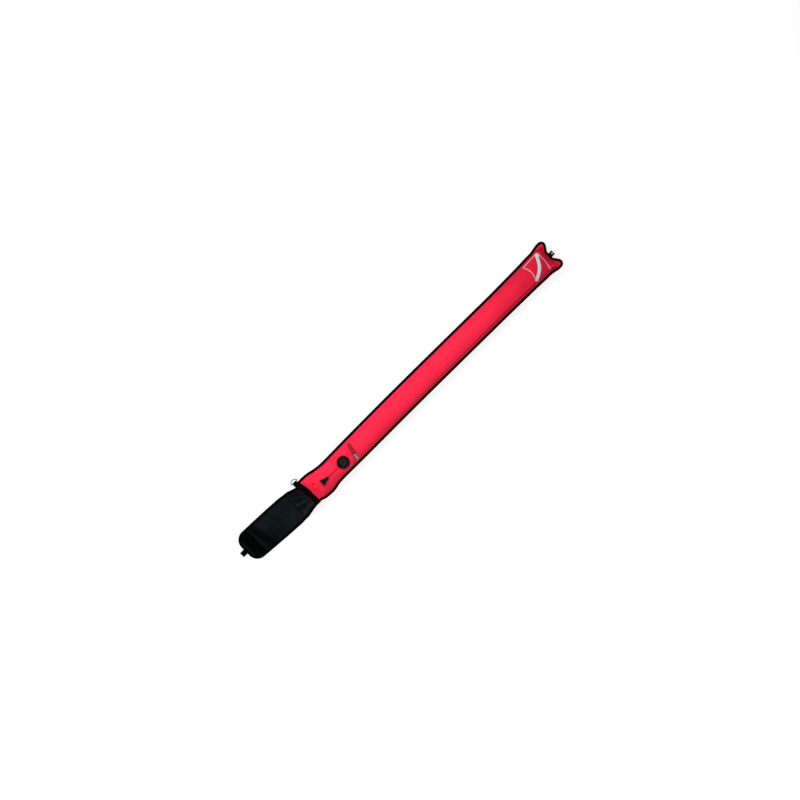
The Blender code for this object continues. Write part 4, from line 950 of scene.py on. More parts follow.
@dataclass
class TubeShape:
    """Faces and edges of the inflated tube, from a few sizes."""

    length: float = 1.4
    diameter: float = 0.095
    flange: float = 0.01
    fabric: float = 0.0008
    seam_half: float = 0.00095
    z_seam: float = 0.047
    neck_tail: float = 0.0216
    band_above: float = 0.0065
    neck_taper: float = 0.075
    neck_roundness: float = 0.8
    end_taper: float = 0.09
    end_roundness: float = 0.6
    top_flat: float = 0.0135
    ear_reach: float = 0.019
    ear_place: float = 0.74
    notch_flat: float = 0.24
    ear_drop: float = 0.002
    ear_depth: float = 0.06
    painted_top_shade: float = 0.25             # painted shade: the cloth's tone falls towards the top end, where the light falls off
    painted_top_shade_from: float = 0.1
    sway: float = 0.0026
    sway_out: float = 0.35
    sway_back: float = 0.9
    valve_x: float = -0.5116
    valve_y: float = -0.0054
    z_deck: float = 0.09
    deck_radius: float = 0.03
    deck_blend: float = 0.022
    weld_radius: float = 0.035
    neck_left: Curve = Curve((-0.022, 0.002), (-0.018, 0.0032), (-0.01, 0.0085), (-0.002, 0.0131),
                             (0.007, 0.0134), (0.019, 0.0132), (0.029, 0.013), (0.043, 0.0117),
                             (0.058, 0.009), (0.074, 0.0048), (0.092, 0.0018), (0.11, -0.0002),
                             (0.14, -0.0008), (0.26, 0), (0.4, 0))
    neck_right: Curve = Curve((-0.022, -0.005), (0.007, -0.005), (0.019, -0.003), (0.029, 0.0014),
                              (0.043, 0.0034), (0.058, 0.0046), (0.074, 0.0058), (0.092, 0.0038),
                              (0.11, -0.0002), (0.14, -0.0025), (0.26, -0.001), (0.4, 0))
    end_edge: Curve = Curve((0, 0.0118), (0.014, 0.0114), (0.031, 0.0082), (0.05, 0.0048),
                            (0.064, 0.0044), (0.081, 0.0044), (0.114, 0.0029), (0.147, 0.0021),
                            (0.3, 0))
    folds: tuple[Crease, ...] = (
        Crease(((-0.672, 0.037), (-0.668, 0.031), (-0.662, 0.022), (-0.658, 0.013), (-0.661, 0.004)),
               0.0042, 0.0034),
        Crease(((-0.658, 0.013), (-0.662, 0.016), (-0.668, 0.02), (-0.674, 0.01), (-0.68, -0.006),
                (-0.684, -0.012)), 0.0046, 0.0036),
        Crease(((-0.66, -0.001), (-0.664, -0.004), (-0.668, -0.007), (-0.676, -0.013), (-0.684, -0.018),
                (-0.6894, -0.042)), 0.005, 0.0036),
        Crease(((-0.654, -0.006), (-0.66, -0.014), (-0.668, -0.028), (-0.68, -0.046)), 0.0034, 0.0036),
        Crease(((-0.36, -0.039), (-0.1, -0.0382), (0.2, -0.0388), (0.45, -0.04), (0.655, -0.044)),
               0.0016, 0.0034, 0.32),
        Crease(((-0.64, 0.056), (-0.6, 0.053), (-0.56, 0.0445), (-0.5, 0.04)), 0.0009, 0.003),
        Crease(((0.64, -0.04), (0.668, -0.05), (0.69, -0.056)), 0.0022, 0.0045),
        Crease(((0.668, 0.048), (0.69, 0.044), (0.702, 0.036)), 0.0016, 0.004),
    )

    def __post_init__(self) -> None:
        """Work out the places that follow from the sizes."""
        self.radius = self.diameter / 2
        self.x_neck = -self.length / 2
        self.x_end = self.length / 2
        self.x_tail = self.x_neck - self.neck_tail
        self.x_band = self.x_neck + self.band_above
        self.edges: dict[tuple[float, int], float] = {}

    def edge_y(self, x: float, side: int) -> float:
        """Return the fabric's edge at a station, on its +Y (1) or -Y (-1) side."""
        if (x, side) not in self.edges:
            from_neck = x - self.x_neck
            neck = self.neck_left if side > 0 else self.neck_right
            extra = neck.at(from_neck) + self.end_edge.at(self.x_end - x)
            out, back = self.sway_out * self.length, self.sway_back * self.length
            sway = self.sway * (ease(from_neck / out) - 2 * ease((from_neck - out) / (back - out)))
            self.edges[x, side] = sway + side * (self.radius + self.flange + extra)
        return self.edges[x, side]

    def outer_y(self, x: float) -> Pair:
        """Return the fabric's edge at a station on both sides."""
        return self.edge_y(x, -1), self.edge_y(x, 1)

    def wall_y(self, x: float, side: int) -> float:
        """Return where the chamber starts at a station."""
        step = 0.005
        slope = (self.edge_y(x + step, side) - self.edge_y(x - step, side)) / (2 * step)
        return self.edge_y(x, side) - side * self.flange * sqrt(1 + slope * slope)

    def section(self, x: float) -> tuple[float, float, float]:
        """Return the chamber's middle, half width and the height of one half at a station."""
        low, high = self.wall_y(x, -1), self.wall_y(x, 1)
        neck = clamp((x - self.x_band) / self.neck_taper)
        end = clamp((self.x_end - self.top_flat - x) / self.end_taper)
        rise = sin(pi / 2 * neck) ** self.neck_roundness
        rise *= (1 - (1 - end) ** 2) ** self.end_roundness
        return (low + high) / 2, (high - low) / 2, rise * (self.radius - self.seam_half)

    def ear(self, across: float) -> float:
        """Return how far the top seam runs past its notch, at a share of the half width."""
        v = abs(across)
        if v <= self.ear_place:
            q = max(0, (v - self.notch_flat) / (self.ear_place - self.notch_flat))
            return self.ear_reach * (1 - cos(pi * q) + 2 * sin(pi * q / 2)) / 4
        q = min(1, (v - self.ear_place) / (1 - self.ear_place))
        return self.ear_reach - (self.ear_reach + self.ear_drop) * (1 - sqrt(1 - q * q))

    def from_valve(self, x: float, y: float) -> float:
        """Return the distance of a place from the valve's middle."""
        return hypot(x - self.valve_x, y - self.valve_y)

    def on_valve(self) -> Matrix:
        """Return the valve's place on the deck."""
        return Matrix.Translation((self.valve_x, self.valve_y, self.z_deck))

    def on_deck(self, x: float, y: float, z: float) -> float:
        """Return the height of the crown once the valve's stiff flange has flattened it."""
        share = ease((self.deck_radius + self.deck_blend - self.from_valve(x, y)) / self.deck_blend)
        share *= ease(2 * (z - self.z_seam - self.seam_half) / self.radius)
        return z + (self.z_deck - z) * share

    def stations(self, step: float) -> list[float]:
        """Return the places of the rows along the tube."""
        flat = [self.x_tail, self.x_tail + 0.0056, self.x_tail + 0.0136, self.x_neck, self.x_band]
        run = self.x_end - self.x_band
        count = round(run / step)
        return flat + [self.x_band + run * k / count for k in range(1, count + 1)]

    def puckers(self, x: float, angle: float, half: int) -> float:
        """Return the small swellings and gathers of blown-up cloth, out of its face."""
        to_seam = pi / 2 - abs(angle)
        side = 1 if angle > 0 else -1
        free = clamp((x - self.x_band) / 0.03) * clamp((self.x_end - self.top_flat - x) / 0.03)
        ends = bump(x - self.x_neck - 0.05, 0.07) + bump(self.x_end - 0.035 - x, 0.06)
        seed = Vector((x * 58, side * 7.3 + half * 3.1, 0))
        ripple = noise.noise(seed) * (0.00022 + 0.0011 * ends) * bump(to_seam - 0.12, 0.3)
        broad = noise.noise(Vector((x * 7.5, angle * 1.1, half * 5))) * 0.001
        broad += noise.noise(Vector((x * 24, angle * 2.4, 9 + half))) * (0.0003 + 0.0008 * ends)
        radial = cos(angle * 11 + 2 * sin(x * 60)) * 0.0008 * bump(
            self.x_end - 0.016 - x, 0.02) * (1 - abs(angle) / 2)
        return free * (ripple + broad * min(1, to_seam * 2.5) + radial)

    def face(self, x: float, angle: float, half: int) -> Vector:
        """Return a point of the chamber's outer face.

        Args:
            x: Station along the tube.
            angle: Round the tube from its crown, from -90 to 90 degrees in radians.
            half: 1 for the upper half, -1 for the lower.

        Returns:
            The place, with its folds, gathers and the deck under the valve.
        """
        middle, wide, height = self.section(x)
        y = middle + wide * sin(angle)
        up = cos(angle) * height
        out = Vector((0, sin(angle) * height, cos(angle) * wide))
        out = out.normalized() if height > 1e-5 else UP
        away = self.from_valve(x, y)
        calm = 1 if half < 0 else ease((away - self.deck_radius) / 0.015)
        push = self.puckers(x, angle, half)
        if half > 0:
            push += sum(fold.at(x, y) for fold in self.folds)
            push += 0.0004 * sin(9 * atan2(y - self.valve_y, x - self.valve_x)) * bump(
                away - self.deck_radius - 0.01, 0.01)
        push *= calm * min(1, 60 * height) * max(0, cos(angle)) ** 0.25
        if half > 0:
            push -= 0.0007 * bump(away - self.weld_radius, 0.0022)
        y += out.y * push
        up = max(0, up + out.z * push)
        return self.shaped(x, y, half, up)

    def tone(self, x: float, y: float) -> float:
        """Return the tone of the upper cloth: painted shade in its creases, towards the top end and below the
        band.
        """
        # Painted shade in the creases, with painted light on their banks.
        shade = sum(fold.shade * fold.at(x, y) / fold.depth for fold in self.folds)
        # Painted shade towards the top end, where the light falls off.
        painted_top_shade = self.painted_top_shade * ease((x - self.painted_top_shade_from) / (self.x_end - self.painted_top_shade_from))
        # The last term is painted shade under the band at the neck.
        return 0.5 + shade - painted_top_shade - 0.45 * ease((self.x_neck - 0.01 - x) / 0.004)

    def shaped(self, x: float, y: float, half: int, up: float) -> Vector:
        """Return a point once the ears, the deck and the floor have had their say."""
        low, high = self.outer_y(x)
        across = clamp(2 * (y - low) / (high - low) - 1, -1)
        pull = max(0, 1 - (self.x_end - x) / self.ear_depth) ** 2
        z = self.z_seam + half * (self.seam_half + up)
        if half > 0:
            z = self.on_deck(x, y, z)
        return Vector((x + self.ear(across) * pull, y, max(LOWEST, z)))

    def crown(self, x: float, y: float) -> float:
        """Return the height of the top of the tube."""
        middle, wide, height = self.section(x)
        across = min(1, abs(y - middle) / wide)
        return self.on_deck(x, y, self.z_seam + self.seam_half + height * sqrt(1 - across * across))

    def edge_path(self, step: float) -> list[Vector]:
        """Return the fabric's edge from the neck at -Y round the top to the neck at +Y."""
        xs = self.stations(step)
        path = [self.shaped(x, self.edge_y(x, -1), 1, 0) for x in xs]
        low, high = self.outer_y(self.x_end)
        count = 72
        for k in range(1, count):
            share = -cos(pi * k / count)
            path.append(self.shaped(self.x_end, (low + high) / 2 + share * (high - low) / 2, 1, 0))
        path += [self.shaped(x, self.edge_y(x, 1), 1, 0) for x in reversed(xs)]
        return [Vector((p.x, p.y, self.z_seam)) for p in path]


SHAPE = TubeShape()


@dataclass
class InflatedTube:
    """The two welded halves of the tube, the tape round their edge and the printed flag."""

    row_step: float = 0.0045
    arc_cells: int = 52
    flange_cells: int = 2
    tape: float = 0.001
    tape_width: float = 0.0095
    stitch_inset: float = 0.0022
    base_hole: float = 0.0251

    def panel(self, half: int, palette: Palette) -> None:
        """Make one half of the tube, 1 for the upper and -1 for the lower."""
        rows = SHAPE.stations(self.row_step)
        last = self.arc_cells + 2 * self.flange_cells

        def place(i: int, j: int) -> Vector:
            """Place of a grid point."""
            x = rows[i]
            if self.flange_cells <= j <= last - self.flange_cells:
                return SHAPE.face(x, pi * ((j - self.flange_cells) / self.arc_cells - 0.5), half)
            side = -1 if j < self.flange_cells else 1
            share = (j if side < 0 else last - j) / self.flange_cells
            y = SHAPE.edge_y(x, side) * (1 - share) + SHAPE.wall_y(x, side) * share
            return SHAPE.shaped(x, y, half, 0)

        def pattern(i: int, j: int) -> Pair:
            """Cloth map of a grid point."""
            return rows[i], (j - last / 2) / self.arc_cells * pi * SHAPE.radius

        bm = faced(laid_grid(len(rows) - 1, last, place, pattern), half)
        # The upper half gets painted light and shade; the lower half stays plain.
        paint_light_and_shade(bm, lambda p: SHAPE.tone(p.x, p.y) if half > 0 else 0.5)
        area = sum(face.calc_area() for face in bm.faces)
        side = "front" if half > 0 else "back"
        piece = with_wall(finished(f"tube_{side}_cloth", bm, palette.red_nylon, 60), SHAPE.fabric)
        cut_out(piece, [rod(self.base_hole, 0.03, SHAPE.on_valve(), 64)] if half > 0 else [])
        placed(piece, "tube", "red_fabric", f"{side}_panel")

    def edge_tape(self, palette: Palette) -> None:
        """Make the folded tape round the edge and its two rows of stitches."""
        inner = SHAPE.seam_half + CLEAR
        path = resample(SHAPE.edge_path(self.row_step), 0.0048)
        bm = swept(path, [UP] * len(path), folded_tape(inner, self.tape, self.tape_width, CLEAR))
        for vert in bm.verts:
            vert.co.z += 0.00012 * noise.noise(Vector((vert.co.x * 40, vert.co.y * 40, 2)))
        fitted("tube_edge_tape", bm, palette.black_tape, "tube", "black_tape", "edge_binding", angle=35)
        line = [p.xy for p in inset_path(path, self.tape_width - self.stitch_inset)]
        rows = Thread().both_faces([line], inner + self.tape + 0.00012)
        fitted("tube_edge_stitches", rows, palette.thread, "tube", "black_tape")

    def build(self, palette: Palette) -> None:
        """Build the tube's pieces."""
        self.edge_tape(palette)
        self.panel(1, palette)
        self.panel(-1, palette)
        FlagPrint().build(palette)


@dataclass
class FlagPrint:
    """Diver's flag in reflective print: an outline and a diagonal stripe."""

    near_left: Pair = (0.5822, 0.0374)
    far_left: Pair = (0.6632, 0.0412)
    near_right: Pair = (0.5797, -0.0424)
    far_right: Pair = (0.656, -0.0486)
    line: float = 0.0021
    stripe: float = 0.0135
    near_bow: float = 0.0115
    far_bow: float = 0.0075
    stripe_bow: float = 0.0084
    lift: float = 0.0002
    step: float = 0.0015

    def corner(self, u: float, v: float) -> Pair:
        """Return the place on the tube for a share along and across the flag."""
        left = Vector(self.near_left).lerp(Vector(self.far_left), u)
        spot = Vector(self.near_right).lerp(Vector(self.far_right), u).lerp(left, v)
        out = sin(pi * clamp(v))
        inside = self.stripe_bow * (1 - (2 * u - 1) ** 2)
        outline = (self.near_bow * (1 - u) + self.far_bow * u) * (2 * u - 1) ** 2
        return spot.x + out * (outline + inside), spot.y - out * inside

    def band(self, start: Pair, end: Pair, width: float) -> BMesh:
        """Return a printed band between two places of the flag, shares along and across it."""
        rows = max(2, round(dist(self.corner(*start), self.corner(*end)) / self.step))
        columns = max(2, round(width / self.step))
        line = [self.corner(start[0] + (end[0] - start[0]) * k / rows,
                            start[1] + (end[1] - start[1]) * k / rows) for k in range(rows + 1)]

        def place(i: int, j: int) -> Vector:
            """Place of a grid point, just off the cloth."""
            before, after = line[max(0, i - 1)], line[min(rows, i + 1)]
            dx, dy = after[0] - before[0], after[1] - before[1]
            size = hypot(dx, dy)
            off = (j / columns - 0.5) * width
            return self.on_cloth(line[i][0] - dy / size * off, line[i][1] + dx / size * off)

        return faced(laid_grid(rows, columns, place, lambda i, j: (i * self.step, j * self.step)))

    def on_cloth(self, x: float, y: float) -> Vector:
        """Return a place a hair above the cloth."""
        middle, wide, _ = SHAPE.section(x)
        angle = asin(clamp((y - middle) / wide, -0.999, 0.999))
        point = SHAPE.face(x, angle, 1)
        nearby = SHAPE.face(x, angle + 0.01, 1) - SHAPE.face(x, angle - 0.01, 1)
        along = SHAPE.face(x + 0.001, angle, 1) - SHAPE.face(x - 0.001, angle, 1)
        return point + along.cross(nearby).normalized() * self.lift

    def build(self, palette: Palette) -> None:
        """Make the print."""
        bands = [self.band(start, end, self.line) for start, end in
                 (((0, 1), (1, 1)), ((1, 1), (1, 0)), ((0, 1), (0, 0)))]
        bands.append(self.band((0.96, 0.97), (0.03, 0.03), self.stripe))
        fitted("flag_print", joined(bands), palette.reflective, "tube", "red_fabric", angle=60)


# Webbing at the neck and the top end

@dataclass
class NeckBand:
    """Webbing sewn round the flat neck, drawn askew towards its ring."""

    width: float = 0.026
    middle: float = -0.703
    half_height: float = 0.003
    low: float = -0.0545
    high: float = 0.073
    corner: float = 0.0022
    stitch_inset: float = 0.0026
    lean: Curve = Curve((-0.056, -0.0022), (-0.04, -0.001), (-0.015, 0), (0.005, -0.0008),
                        (0.025, -0.0032), (0.045, -0.006), (0.06, -0.0098), (0.074, -0.0112))

    def hoop(self) -> tuple[list[Vector], list[Vector]]:
        """Return the band's middle line round the neck and its outward directions."""
        left, right, high = self.high - self.corner, self.low + self.corner, self.half_height - self.corner
        corners = ((left, high, right), (right, high, right), (right, -high, left), (left, -high, left))
        points, out = [], []
        for k, (y, z, next_y) in enumerate(corners):
            for py, pz in arc((y, z), self.corner, 90 * k, 90 * k + 90, 5):
                points.append(Vector((self.middle, py, SHAPE.z_seam + pz)))
                out.append(Vector((0, py - y, pz - z)).normalized())
            if next_y != y:
                start, end = points[-1], Vector((self.middle, next_y, points[-1].z))
                points += [start.lerp(end, m / 24) for m in range(1, 24)]
                out += [UP * copysign(1, z)] * 23
        return points, out

    def build(self, palette: Palette) -> None:
        """Make the band and its rows of stitches."""
        points, out = self.hoop()
        bm = swept([*points, points[0]], [*out, out[0]], strap(self.width, WEBBING), hoop=True)
        for vert in bm.verts:
            vert.co.x += self.lean.at(vert.co.y)
            vert.co.z += 0.00015 * noise.noise(Vector((vert.co.x * 60, vert.co.y * 60, 4)))
        fitted("neck_band_webbing", bm, palette.webbing, "tube", "black_webbing", "neck_band")
        places = [self.low + 0.004 + 0.0055 * k for k in range(20)]
        inset = self.width / 2 - self.stitch_inset
        lines = [[(self.middle + self.lean.at(y) + side * inset, y) for y in places] for side in (1, -1)]
        rows = Thread(stitch=0.0033, pitch=0.0044, thickness=0.0007).both_faces(
            lines, self.half_height + WEBBING / 2 + SEWN)
        fitted("neck_band_stitches", rows, palette.thread, "tube", "black_webbing")


def cross_rows(middle: float, width: float) -> list[float]:
    """Return seven places across a strap for a row of stitches."""
    return [middle + width * (k / 6 - 0.5) * 0.8 for k in range(7)]


def folded_strap(points: Sequence[Vector], across: Vector, width: float) -> BMesh:
    """Return webbing along a folded line, with its outer face square to the line and the axis across it."""
    return swept(points, directions(points, across), strap(width, WEBBING))


@dataclass
class TopTab:
    """Webbing tab folded over the top seam, with an eyelet through both layers."""

    width: float = 0.021
    edge: float = 0.7011
    grip: float = 0.0085
    end: float = 0.7187
    y: float = -0.0046
    stack: float = 0.00235
    eyelet_x: float = 0.7118
    hole: float = 0.0024
    rim: float = 0.0055
    barrel: float = 0.0035
    wall: float = 0.0005

    def fold(self) -> list[Vector]:
        """Return the webbing's middle line over the seam."""
        high = self.stack + WEBBING / 2
        thin = WEBBING / 2 + 0.00002
        upper = [(self.edge - self.grip, high), (self.edge - 0.004, high), (self.edge + 0.0002, high),
                 (self.edge + 0.0016, high * 0.72), (self.edge + 0.0034, thin), (self.edge + 0.009, thin),
                 (self.end - WEBBING, thin)]
        bend = arc((self.end - WEBBING, 0), thin, 60, -60, 4)
        line = upper + bend + [(x, -z) for x, z in reversed(upper)]
        return [Vector((x, self.y, SHAPE.z_seam + z)) for x, z in line]

    def build(self, palette: Palette) -> None:
        """Make the tab, its stitches and the eyelet."""
        bm = folded_strap(self.fold(), Vector((0, -1, 0)), self.width)
        tab = finished("top_tab_webbing", bm, palette.webbing)
        middle = Matrix.Translation((self.eyelet_x, self.y, SHAPE.z_seam))
        cut_out(tab, [rod(self.barrel + CLEAR, 0.02, middle, 40)])
        placed(tab, "tube", "black_webbing", "top_tab")
        lines = [[(self.edge - back, y) for y in cross_rows(self.y, self.width)] for back in (0.0062, 0.0018)]
        rows = FINE_THREAD.both_faces(lines, self.stack + WEBBING + SEWN)
        fitted("top_tab_stitches", rows, palette.thread, "tube", "black_webbing")
        face = WEBBING + CLEAR
        top = face + self.wall
        ring = rounded([(self.rim, top), (self.rim, face), (self.barrel, face), (self.barrel, -face),
                        (self.rim, -face), (self.rim, -top), (self.hole, -top), (self.hole, top)], 0.0004, 3)
        fitted("top_tab_eyelet", spun(ring, 48, middle), palette.steel, "tube", "steel", "top_eyelet")


@dataclass
class SideRing:
    """Wire ring at the side of the neck and the webbing loop that holds it."""

    x: float = -0.7153
    edge: float = 0.0737
    width: float = 0.02
    grip: float = 0.012
    out: float = 0.0044
    stack: float = 0.004
    length: float = 0.03
    bow: float = 0.013
    corner: float = 0.0025
    wire: float = 0.0037
    wire_sides: int = 18

    def loop_path(self) -> list[Vector]:
        """Return the loop's middle line over the band and round the wire."""
        high = self.stack + WEBBING / 2
        turn = self.wire / 2 + 0.0003 + WEBBING / 2
        upper = [(self.edge - self.grip, high), (self.edge - 0.006, high), (self.edge + 0.0004, high),
                 (self.edge + 0.0018, high * 0.92), (self.edge + 0.0038, high * 0.7)]
        bend = arc((self.edge + self.out, 0), turn, 60, -60, 10)
        line = upper + bend + [(y, -z) for y, z in reversed(upper)]
        return [Vector((self.x, y, SHAPE.z_seam + z)) for y, z in line]

    def build(self, palette: Palette) -> None:
        """Make the loop, its stitches and the ring."""
        bm = folded_strap(self.loop_path(), Vector((1, 0, 0)), self.width)
        fitted("ring_loop_webbing", bm, palette.webbing, "tube", "black_webbing", "ring_webbing")
        lines = [[(x, self.edge - back) for x in cross_rows(self.x, self.width)]
                 for back in (0.0108, 0.005, 0.0012)]
        rows = FINE_THREAD.both_faces(lines, self.stack + WEBBING + SEWN)
        fitted("ring_loop_stitches", rows, palette.thread, "tube", "black_webbing")
        half, r = self.length / 2, self.corner
        line = arc((half - r, r), r, -90, 0, 6)
        line += [(half * cos(pi * k / 40), r + (self.bow - r) * sin(pi * k / 40)) for k in range(1, 40)]
        line += arc((r - half, r), r, 180, 270, 6)
        line += [((k / 12 - 0.5) * 2 * (half - r), 0) for k in range(1, 12)]
        path = [Vector((self.x + x, self.edge + self.out + y, SHAPE.z_seam)) for x, y in line]
        profile = arc((0, 0), self.wire / 2, 0, 360 - 360 / self.wire_sides, self.wire_sides - 1)
        bm = swept([*path, path[0]], [UP] * (len(path) + 1), profile, hoop=True)
        fitted("side_ring_wire", bm, palette.dull_steel, "ring", "steel", "d_ring")


# Dump valve, pull cord and knob

@dataclass
class DumpValve:
    """Round valve with a screwed cap: flutes round its edge, windows, a barred port and a cord slot."""

    radius: float = 0.0275
    skirt: float = 0.0021
    top: float = 0.015
    plate: float = 0.002
    wall_inner: float = 0.025
    dish: float = 0.0006
    dish_edge: float = 0.0238
    boss: float = 0.0136
    windows: int = 7
    window: float = 0.003
    window_circle: float = 0.0197
    window_turn: float = 77.0
    port: float = 0.004
    port_circle: float = 0.0118
    port_bar: float = 0.001
    slot: float = 0.003
    slot_reach: float = 0.016
    hub_hole: float = 0.0024
    spring_radius: float = 0.0068
    spring_wire: float = 0.0008
    spring_turns: int = 4
    stroke: float = 0.003
    flutes: int = 36
    flute_depth: float = 0.0007

    def cap(self, palette: Palette) -> None:
        """Make the cap."""
        low = self.top - self.dish
        outline = rounded([(self.boss, self.top), (self.boss + 0.0007, low), (self.dish_edge, low),
                           (self.dish_edge + self.dish, self.top), (self.radius - 0.0014, self.top),
                           (self.radius, self.top - 0.003), (self.radius, self.skirt),
                           (self.wall_inner, self.skirt), (self.wall_inner, self.top - self.plate)],
                          0.0012, 4, closed=False)
        profile = [(0, self.top), (self.boss / 2, self.top), *outline, (0, self.top - self.plate)]
        bm = spun(profile, self.flutes * 6, Matrix.Identity(4), closed=False)
        for vert in bm.verts:
            away = hypot(vert.co.x, vert.co.y)
            if away > self.radius - 0.0006 and vert.co.z < self.top - 0.0012:
                angle = atan2(vert.co.y, vert.co.x)
                cut = self.flute_depth * (0.5 - 0.5 * cos(self.flutes * angle)) ** 2
                vert.co.x *= 1 - cut / away
                vert.co.y *= 1 - cut / away
        bmesh.ops.transform(bm, matrix=SHAPE.on_valve(), verts=bm.verts)
        piece = finished("valve_cap_moulding", bm, palette.cap_plastic, 32)
        cut_out(piece, self.openings())
        placed(piece, "tube", "black_plastic", "valve_cap")

    def openings(self) -> list[BMesh]:
        """Return the cutters of the windows, the hub's hole, the cord's slot and the port."""
        middle, deep = self.top - self.plate / 2, 0.006
        turn = radians(self.window_turn)
        angles = [turn + 2 * pi * k / self.windows for k in range(self.windows)]
        slot_end = self.slot / 2 - self.slot_reach

        def at(x: float, y: float = 0.0) -> Matrix:
            """Place in the cap's top."""
            return Matrix.Translation((x, y, middle))

        holes = [(self.window, at(self.window_circle * cos(a), self.window_circle * sin(a))) for a in angles]
        holes += [(self.hub_hole, at(0)), (self.slot / 2, at(slot_end))]
        cutters = [rod(radius, deep, SHAPE.on_valve() @ place) for radius, place in holes]
        cutters.append(block((-slot_end, self.slot - 0.00002, deep), SHAPE.on_valve() @ at(slot_end / 2),
                             0.00001, 1))
        pitch = 2 * self.port / 3
        for k in (-1, 0, 1):
            half = sqrt(self.port ** 2 - (pitch * abs(k)) ** 2)
            place = SHAPE.on_valve() @ (Matrix.Rotation(turn, 4, 'Z') @ at(self.port_circle + pitch * k))
            cutters.append(block((pitch - self.port_bar, 2 * half, deep), place, 0.0004, 3))
        return cutters

    def build(self, palette: Palette, frame: dict) -> None:
        """Make the cap and dress the moving pieces under it."""
        self.cap(palette)
        dress(frame, palette.plastic, "valve_base", "valve_poppet", "hose_nut")
        dress(frame, palette.seal_rubber, "valve_diaphragm")
        dress(frame, palette.steel, "inflator_spring")
        self.spring(palette)

    def spring(self, palette: Palette) -> None:
        """Make the disc's spring as a fixed helix; in the valve it is pressed together as the disc rises."""
        low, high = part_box("valve_spring")
        bottom, top = low[2] + self.spring_wire / 2, high[2] - self.spring_wire / 2
        count = self.spring_turns * 24
        path = [Vector((SHAPE.valve_x + self.spring_radius * cos(2 * pi * k / 24),
                        SHAPE.valve_y + self.spring_radius * sin(2 * pi * k / 24),
                        bottom + (top - bottom) * k / count)) for k in range(count + 1)]
        bm = tube_along(path, lambda _: self.spring_wire / 2, 10)
        piece = fitted("valve_spring_wire", bm, palette.steel, "tube", "steel", "valve_spring", angle=60)
        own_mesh(piece)


def dress(frame: dict, material: Material, *nodes: str) -> None:
    """Give carried-over solids their material."""
    for name in nodes:
        piece = frame["nodes"][name]
        piece.data.materials.clear()
        piece.data.materials.append(material)
        LOG.info("%s dressed in %s", name, material.name)


@dataclass
class PullLine:
    """Thin cord out of the cap's slot, and the lobed knob on its end."""

    cap_top: float = 0.015
    diameter: float = 0.0018
    length: float = 0.0872
    knob_from_valve: float = 0.0854
    knob_length: float = 0.039
    knob_width: float = 0.033
    flatness: float = 0.62
    lobes: int = 5
    seat: float = 0.0006
    rise: tuple[Pair, ...] = ((0.0024, -0.0009), (0.0055, -0.0008), (0.0088, 0), (0.0122, 0.0014),
                              (0.017, 0.0016), (0.024, 0.0014), (0.0285, 0.0003), (0.032, -0.003),
                              (0.036, -0.0068))
    lie: tuple[Pair, ...] = ((0.043, 0.0022), (0.052, 0.0014), (0.064, 0.0015))
    outline: Curve = Curve((0, 0.22), (0.05, 0.31), (0.16, 0.36), (0.34, 0.42), (0.52, 0.55),
                           (0.68, 0.75), (0.8, 0.92), (0.9, 1), (0.96, 0.96), (1, 0.8))

    def axis(self) -> tuple[Vector, Vector]:
        """Return both ends of the knob's axis, laid on the crown."""
        y = SHAPE.valve_y
        start = SHAPE.valve_x - self.knob_from_valve

        def lowest(share: float) -> float:
            """Height at which the axis rests on the crown, at a share of the knob's length."""
            return SHAPE.crown(start - share * self.knob_length, y) + self.thick(share) + self.seat

        slope = (lowest(0.9) - lowest(0.05)) / (0.9 - 0.05)
        low = lowest(0.05) - slope * 0.05
        lift = max(0, *(lowest(k / 20) - low - slope * k / 20 for k in range(21)))
        return Vector((start, y, low + lift)), Vector((start - self.knob_length, y, low + slope + lift))

    def thick(self, along: float) -> float:
        """Return the knob's half thickness at a share of its length."""
        return self.outline.at(along) * self.knob_width / 2 * self.flatness

    def knob(self, palette: Palette) -> Piece:
        """Make the knob: a stem that flares into lobes, hollow at its wide end."""
        start, end = self.axis()
        shares = [0, 0.004, 0.02, 0.05] + [0.05 + 0.95 * k / 40 for k in range(1, 41)]
        inside = [(1, 0.7), (0.97, 0.62), (0.9, 0.48), (0.82, 0.3), (0.8, 0.12)]
        stops = [(share, self.outline.at(share) * (1 if share else 0.86)) for share in shares] + inside
        around = self.lobes * 14

        def place(i: int, j: int) -> Vector:
            """Place of a grid point."""
            share, half = stops[i]
            angle = 2 * pi * j / around
            wave = (0.5 - 0.5 * cos(self.lobes * angle)) ** 1.5
            size = 1 - 0.26 * share * share * wave
            ridge = 1 - 0.05 * bump(share - 0.1, 0.03)
            reach = share - 0.09 * ease((share - 0.6) / 0.4) * wave
            centre = start.lerp(end, reach)
            half *= self.knob_width / 2 * size * ridge
            return centre + Vector((0, half * cos(angle), half * self.flatness * sin(angle)))

        bm = filled(laid_grid(len(stops) - 1, around, place, lambda i, j: (i * 0.001, j * 0.001), True))
        return fitted("pull_knob_moulding", bm, palette.knob_plastic, "knob", "black_plastic", "pull_knob",
                      angle=50)

    def build(self, palette: Palette) -> None:
        """Make the knob and the cord."""
        knob = self.knob(palette)
        near = self.axis()[0]
        x, y = SHAPE.valve_x, SHAPE.valve_y
        route = [Vector((x - out, y, SHAPE.z_deck + self.cap_top + up)) for out, up in self.rise]
        route += [Vector((x - out, y, SHAPE.crown(x - out, y) + up)) for out, up in self.lie]
        route += [near + Vector((CLEAR + off, 0, 0)) for off in (2 * self.diameter, 0)]
        path = resample(smooth_route(route), 0.0016)
        bm = tube_along(path, lambda _: self.diameter / 2, 12)
        cord = fitted("pull_cord_braid", bm, palette.cord, "knob", "black_cord", "pull_cord")


# Oral inflation tube

